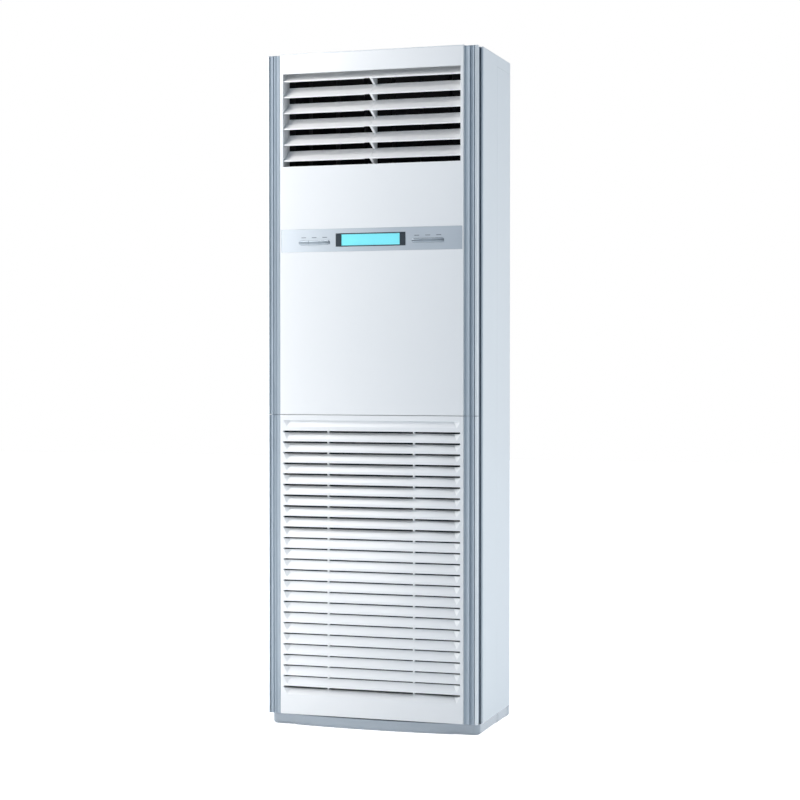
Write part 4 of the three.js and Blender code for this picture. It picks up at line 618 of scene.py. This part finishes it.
@dataclass(frozen=True)
class Lamp:
    """A soft rectangular lamp: where it hangs, what it faces, width and height, and watts."""

    name: str
    place: Point
    target: Point
    size: tuple[float, float]
    power: float
    colour: Colour = (1.0, 0.965, 0.93)

    def hang(self) -> None:
        """Hangs the lamp in the scene."""
        data = bpy.data.lights.new(self.name, "AREA")
        data.shape = "RECTANGLE"
        data.size, data.size_y = self.size
        data.energy = self.power
        data.color = self.colour
        lamp = bpy.data.objects.new(self.name, data)
        lamp.location = self.place
        look = Vector(self.target) - Vector(self.place)
        lamp.rotation_euler = look.to_track_quat("-Z", "Y").to_euler()
        bpy.context.scene.collection.objects.link(lamp)


@dataclass
class Studio:
    """Pale floor, white surroundings, soft lamps and the camera."""

    camera_place: Vector = Vector((1.590, -4.840, 0.977))
    camera_turn: float = 17.88
    camera_drop: float = 1.0
    camera_reach: float = 60.0
    field_of_view: float = 24.52
    floor_half: float = 14.0
    floor_colour: Colour = (0.9, 0.91, 0.92)
    floor_roughness: float = 0.9
    floor_glow: float = 0.88                  # the lamps add the rest, except in the shadow
    white: Colour = (1.0, 1.0, 1.0)
    wall: Colour = (0.78, 0.90, 1.0)          # what lights the object from all round
    wall_level: float = 0.75
    shade: Colour = (0.07, 0.13, 0.20)        # the dark bay behind the viewer
    mirror_shade: Colour = (0.38, 0.45, 0.53)    # the same bay as glossy surfaces show it
    bay_centre: Vector = Vector((0.1, -0.995, 0.0))
    bay: tuple[float, float] = (-0.1, 0.6)    # where the wall ends and the shade is full
    lamps: tuple[Lamp, ...] = (
        Lamp("key", (-0.80, -0.95, 0.85), (0.0, -0.17, 0.85), (0.5, 1.8), 6.9),
        Lamp("upper", (-0.85, -0.95, 2.60), (0.0, -0.15, 1.6), (0.6, 0.6), 12.0),
        Lamp("brow", (-0.90, -1.70, 2.30), (0.0, -0.15, 1.6), (0.5, 0.5), 8.0),
        Lamp("foot", (-0.70, -0.95, 0.30), (0.0, -0.17, 0.10), (0.5, 0.5), 1.7),
        Lamp("side", (1.6, -0.2, 1.0), (0.3, 0.0, 1.0), (0.5, 1.6), 6.5),
    )

    def build(self) -> None:
        """Sets up the studio."""
        self._camera()
        self._floor()
        self._surroundings()
        for lamp in self.lamps:
            lamp.hang()
        bpy.context.scene.view_settings.view_transform = "Standard"

    def _camera(self) -> None:
        """Places the camera at the photograph's viewing angle."""
        data = bpy.data.cameras.new("camera")
        data.angle = math.radians(self.field_of_view)
        data.clip_end = self.camera_reach
        camera = bpy.data.objects.new("camera", data)
        camera.location = self.camera_place
        camera.rotation_euler = (math.radians(90 - self.camera_drop), 0.0,
                                 math.radians(self.camera_turn))
        bpy.context.scene.collection.objects.link(camera)
        bpy.context.scene.camera = camera

    def _floor(self) -> None:
        """Lays the pale floor, which is white where it is looked at and keeps the shadow."""
        work = bmesh.new()
        bmesh.ops.create_grid(work, x_segments=1, y_segments=1, size=self.floor_half)
        mesh = bpy.data.meshes.new("floor")
        work.to_mesh(mesh)
        work.free()
        floor = bpy.data.objects.new("floor", mesh)
        bpy.context.scene.collection.objects.link(floor)
        made = bpy.data.materials.new("pale_floor")
        made.use_nodes = True
        tree = made.node_tree
        shader = tree.nodes["Principled BSDF"]
        shader.inputs["Roughness"].default_value = self.floor_roughness
        shader.inputs["Emission Color"].default_value = (*self.white, 1.0)
        shader.inputs["Base Color"].default_value = (*self.floor_colour, 1.0)
        glow = tree.nodes.new("ShaderNodeMath")
        glow.operation = "MULTIPLY"
        glow.inputs[1].default_value = self.floor_glow
        tree.links.new(self._looked_at(tree), glow.inputs[0])
        tree.links.new(glow.outputs["Value"], shader.inputs["Emission Strength"])
        mesh.materials.append(made)

    def _looked_at(self, tree: bpy.types.NodeTree) -> bpy.types.NodeSocket:
        """Adds the test for what the camera sees, straight, mirrored or through a window.

        Args:
            tree: The node tree that takes the nodes.

        Returns:
            The socket that is 1 for those rays.
        """
        rays = tree.nodes.new("ShaderNodeLightPath")
        seen = rays.outputs["Is Camera Ray"]
        for kind in ("Is Glossy Ray", "Is Transmission Ray"):
            either = tree.nodes.new("ShaderNodeMath")
            either.operation = "MAXIMUM"
            tree.links.new(seen, either.inputs[0])
            tree.links.new(rays.outputs[kind], either.inputs[1])
            seen = either.outputs["Value"]
        return seen

    def _surroundings(self) -> None:
        """Makes the world.

        The camera sees white all round. Glossy surfaces show the same white with a grey bay
        behind the viewer, and the object is lit by pale walls with that bay dark.
        """
        world = bpy.data.worlds.new("studio")
        world.use_nodes = True
        bpy.context.scene.world = world
        tree = world.node_tree
        tree.nodes.clear()
        bay = self._in_bay(tree)
        light = self._two_tone(tree, bay, self.wall, self.shade, self.wall_level)
        rays = tree.nodes.new("ShaderNodeLightPath")
        mirrored = tree.nodes.new("ShaderNodeMath")
        mirrored.operation = "SUBTRACT"
        mirrored.use_clamp = True
        tree.links.new(bay, mirrored.inputs[0])
        tree.links.new(rays.outputs["Is Camera Ray"], mirrored.inputs[1])
        shown = self._two_tone(tree, mirrored.outputs["Value"], self.white, self.mirror_shade)
        mix = tree.nodes.new("ShaderNodeMixShader")
        out = tree.nodes.new("ShaderNodeOutputWorld")
        tree.links.new(self._looked_at(tree), mix.inputs["Fac"])
        tree.links.new(light, mix.inputs[1])
        tree.links.new(shown, mix.inputs[2])
        tree.links.new(mix.outputs["Shader"], out.inputs["Surface"])

    def _in_bay(self, tree: bpy.types.NodeTree) -> bpy.types.NodeSocket:
        """Adds the measure of how far a direction lies in the bay.

        Args:
            tree: The world's node tree.

        Returns:
            The socket that runs from 0 on the walls to 1 in the bay.
        """
        place = tree.nodes.new("ShaderNodeTexCoord")
        toward = tree.nodes.new("ShaderNodeVectorMath")
        toward.operation = "DOT_PRODUCT"
        toward.inputs[1].default_value = self.bay_centre
        tree.links.new(place.outputs["Generated"], toward.inputs[0])
        spread = tree.nodes.new("ShaderNodeMapRange")
        spread.inputs["From Min"].default_value, spread.inputs["From Max"].default_value = self.bay
        tree.links.new(toward.outputs["Value"], spread.inputs["Value"])
        return spread.outputs["Result"]

    def _two_tone(self, tree: bpy.types.NodeTree, factor: bpy.types.NodeSocket, first: Colour,
                  second: Colour, level: float = 1.0) -> bpy.types.NodeSocket:
        """Adds a background that goes from one colour to another.

        Args:
            tree: The world's node tree.
            factor: The socket that is 0 for the first colour and 1 for the second.
            first: The first colour.
            second: The second colour.
            level: The background's strength.

        Returns:
            The background's socket.
        """
        tone = tree.nodes.new("ShaderNodeMix")
        tone.data_type = "RGBA"
        tone.inputs["A"].default_value = (*first, 1.0)
        tone.inputs["B"].default_value = (*second, 1.0)
        tree.links.new(factor, tone.inputs["Factor"])
        background = tree.nodes.new("ShaderNodeBackground")
        background.inputs["Strength"].default_value = level
        tree.links.new(tone.outputs["Result"], background.inputs["Color"])
        return background.outputs["Background"]


def main() -> None:
    """Builds the studio and every sub-assembly in order, and logs each one's name."""
    logging.basicConfig(level=logging.INFO, format="%(name)s: %(message)s")
    for part in (Studio(), Casing(), FrontPanels(), ControlBand(), AirOutlet(), Inside()):
        LOG.info("building %s", type(part).__name__)
        part.build()


if __name__ == "__main__":
    main()
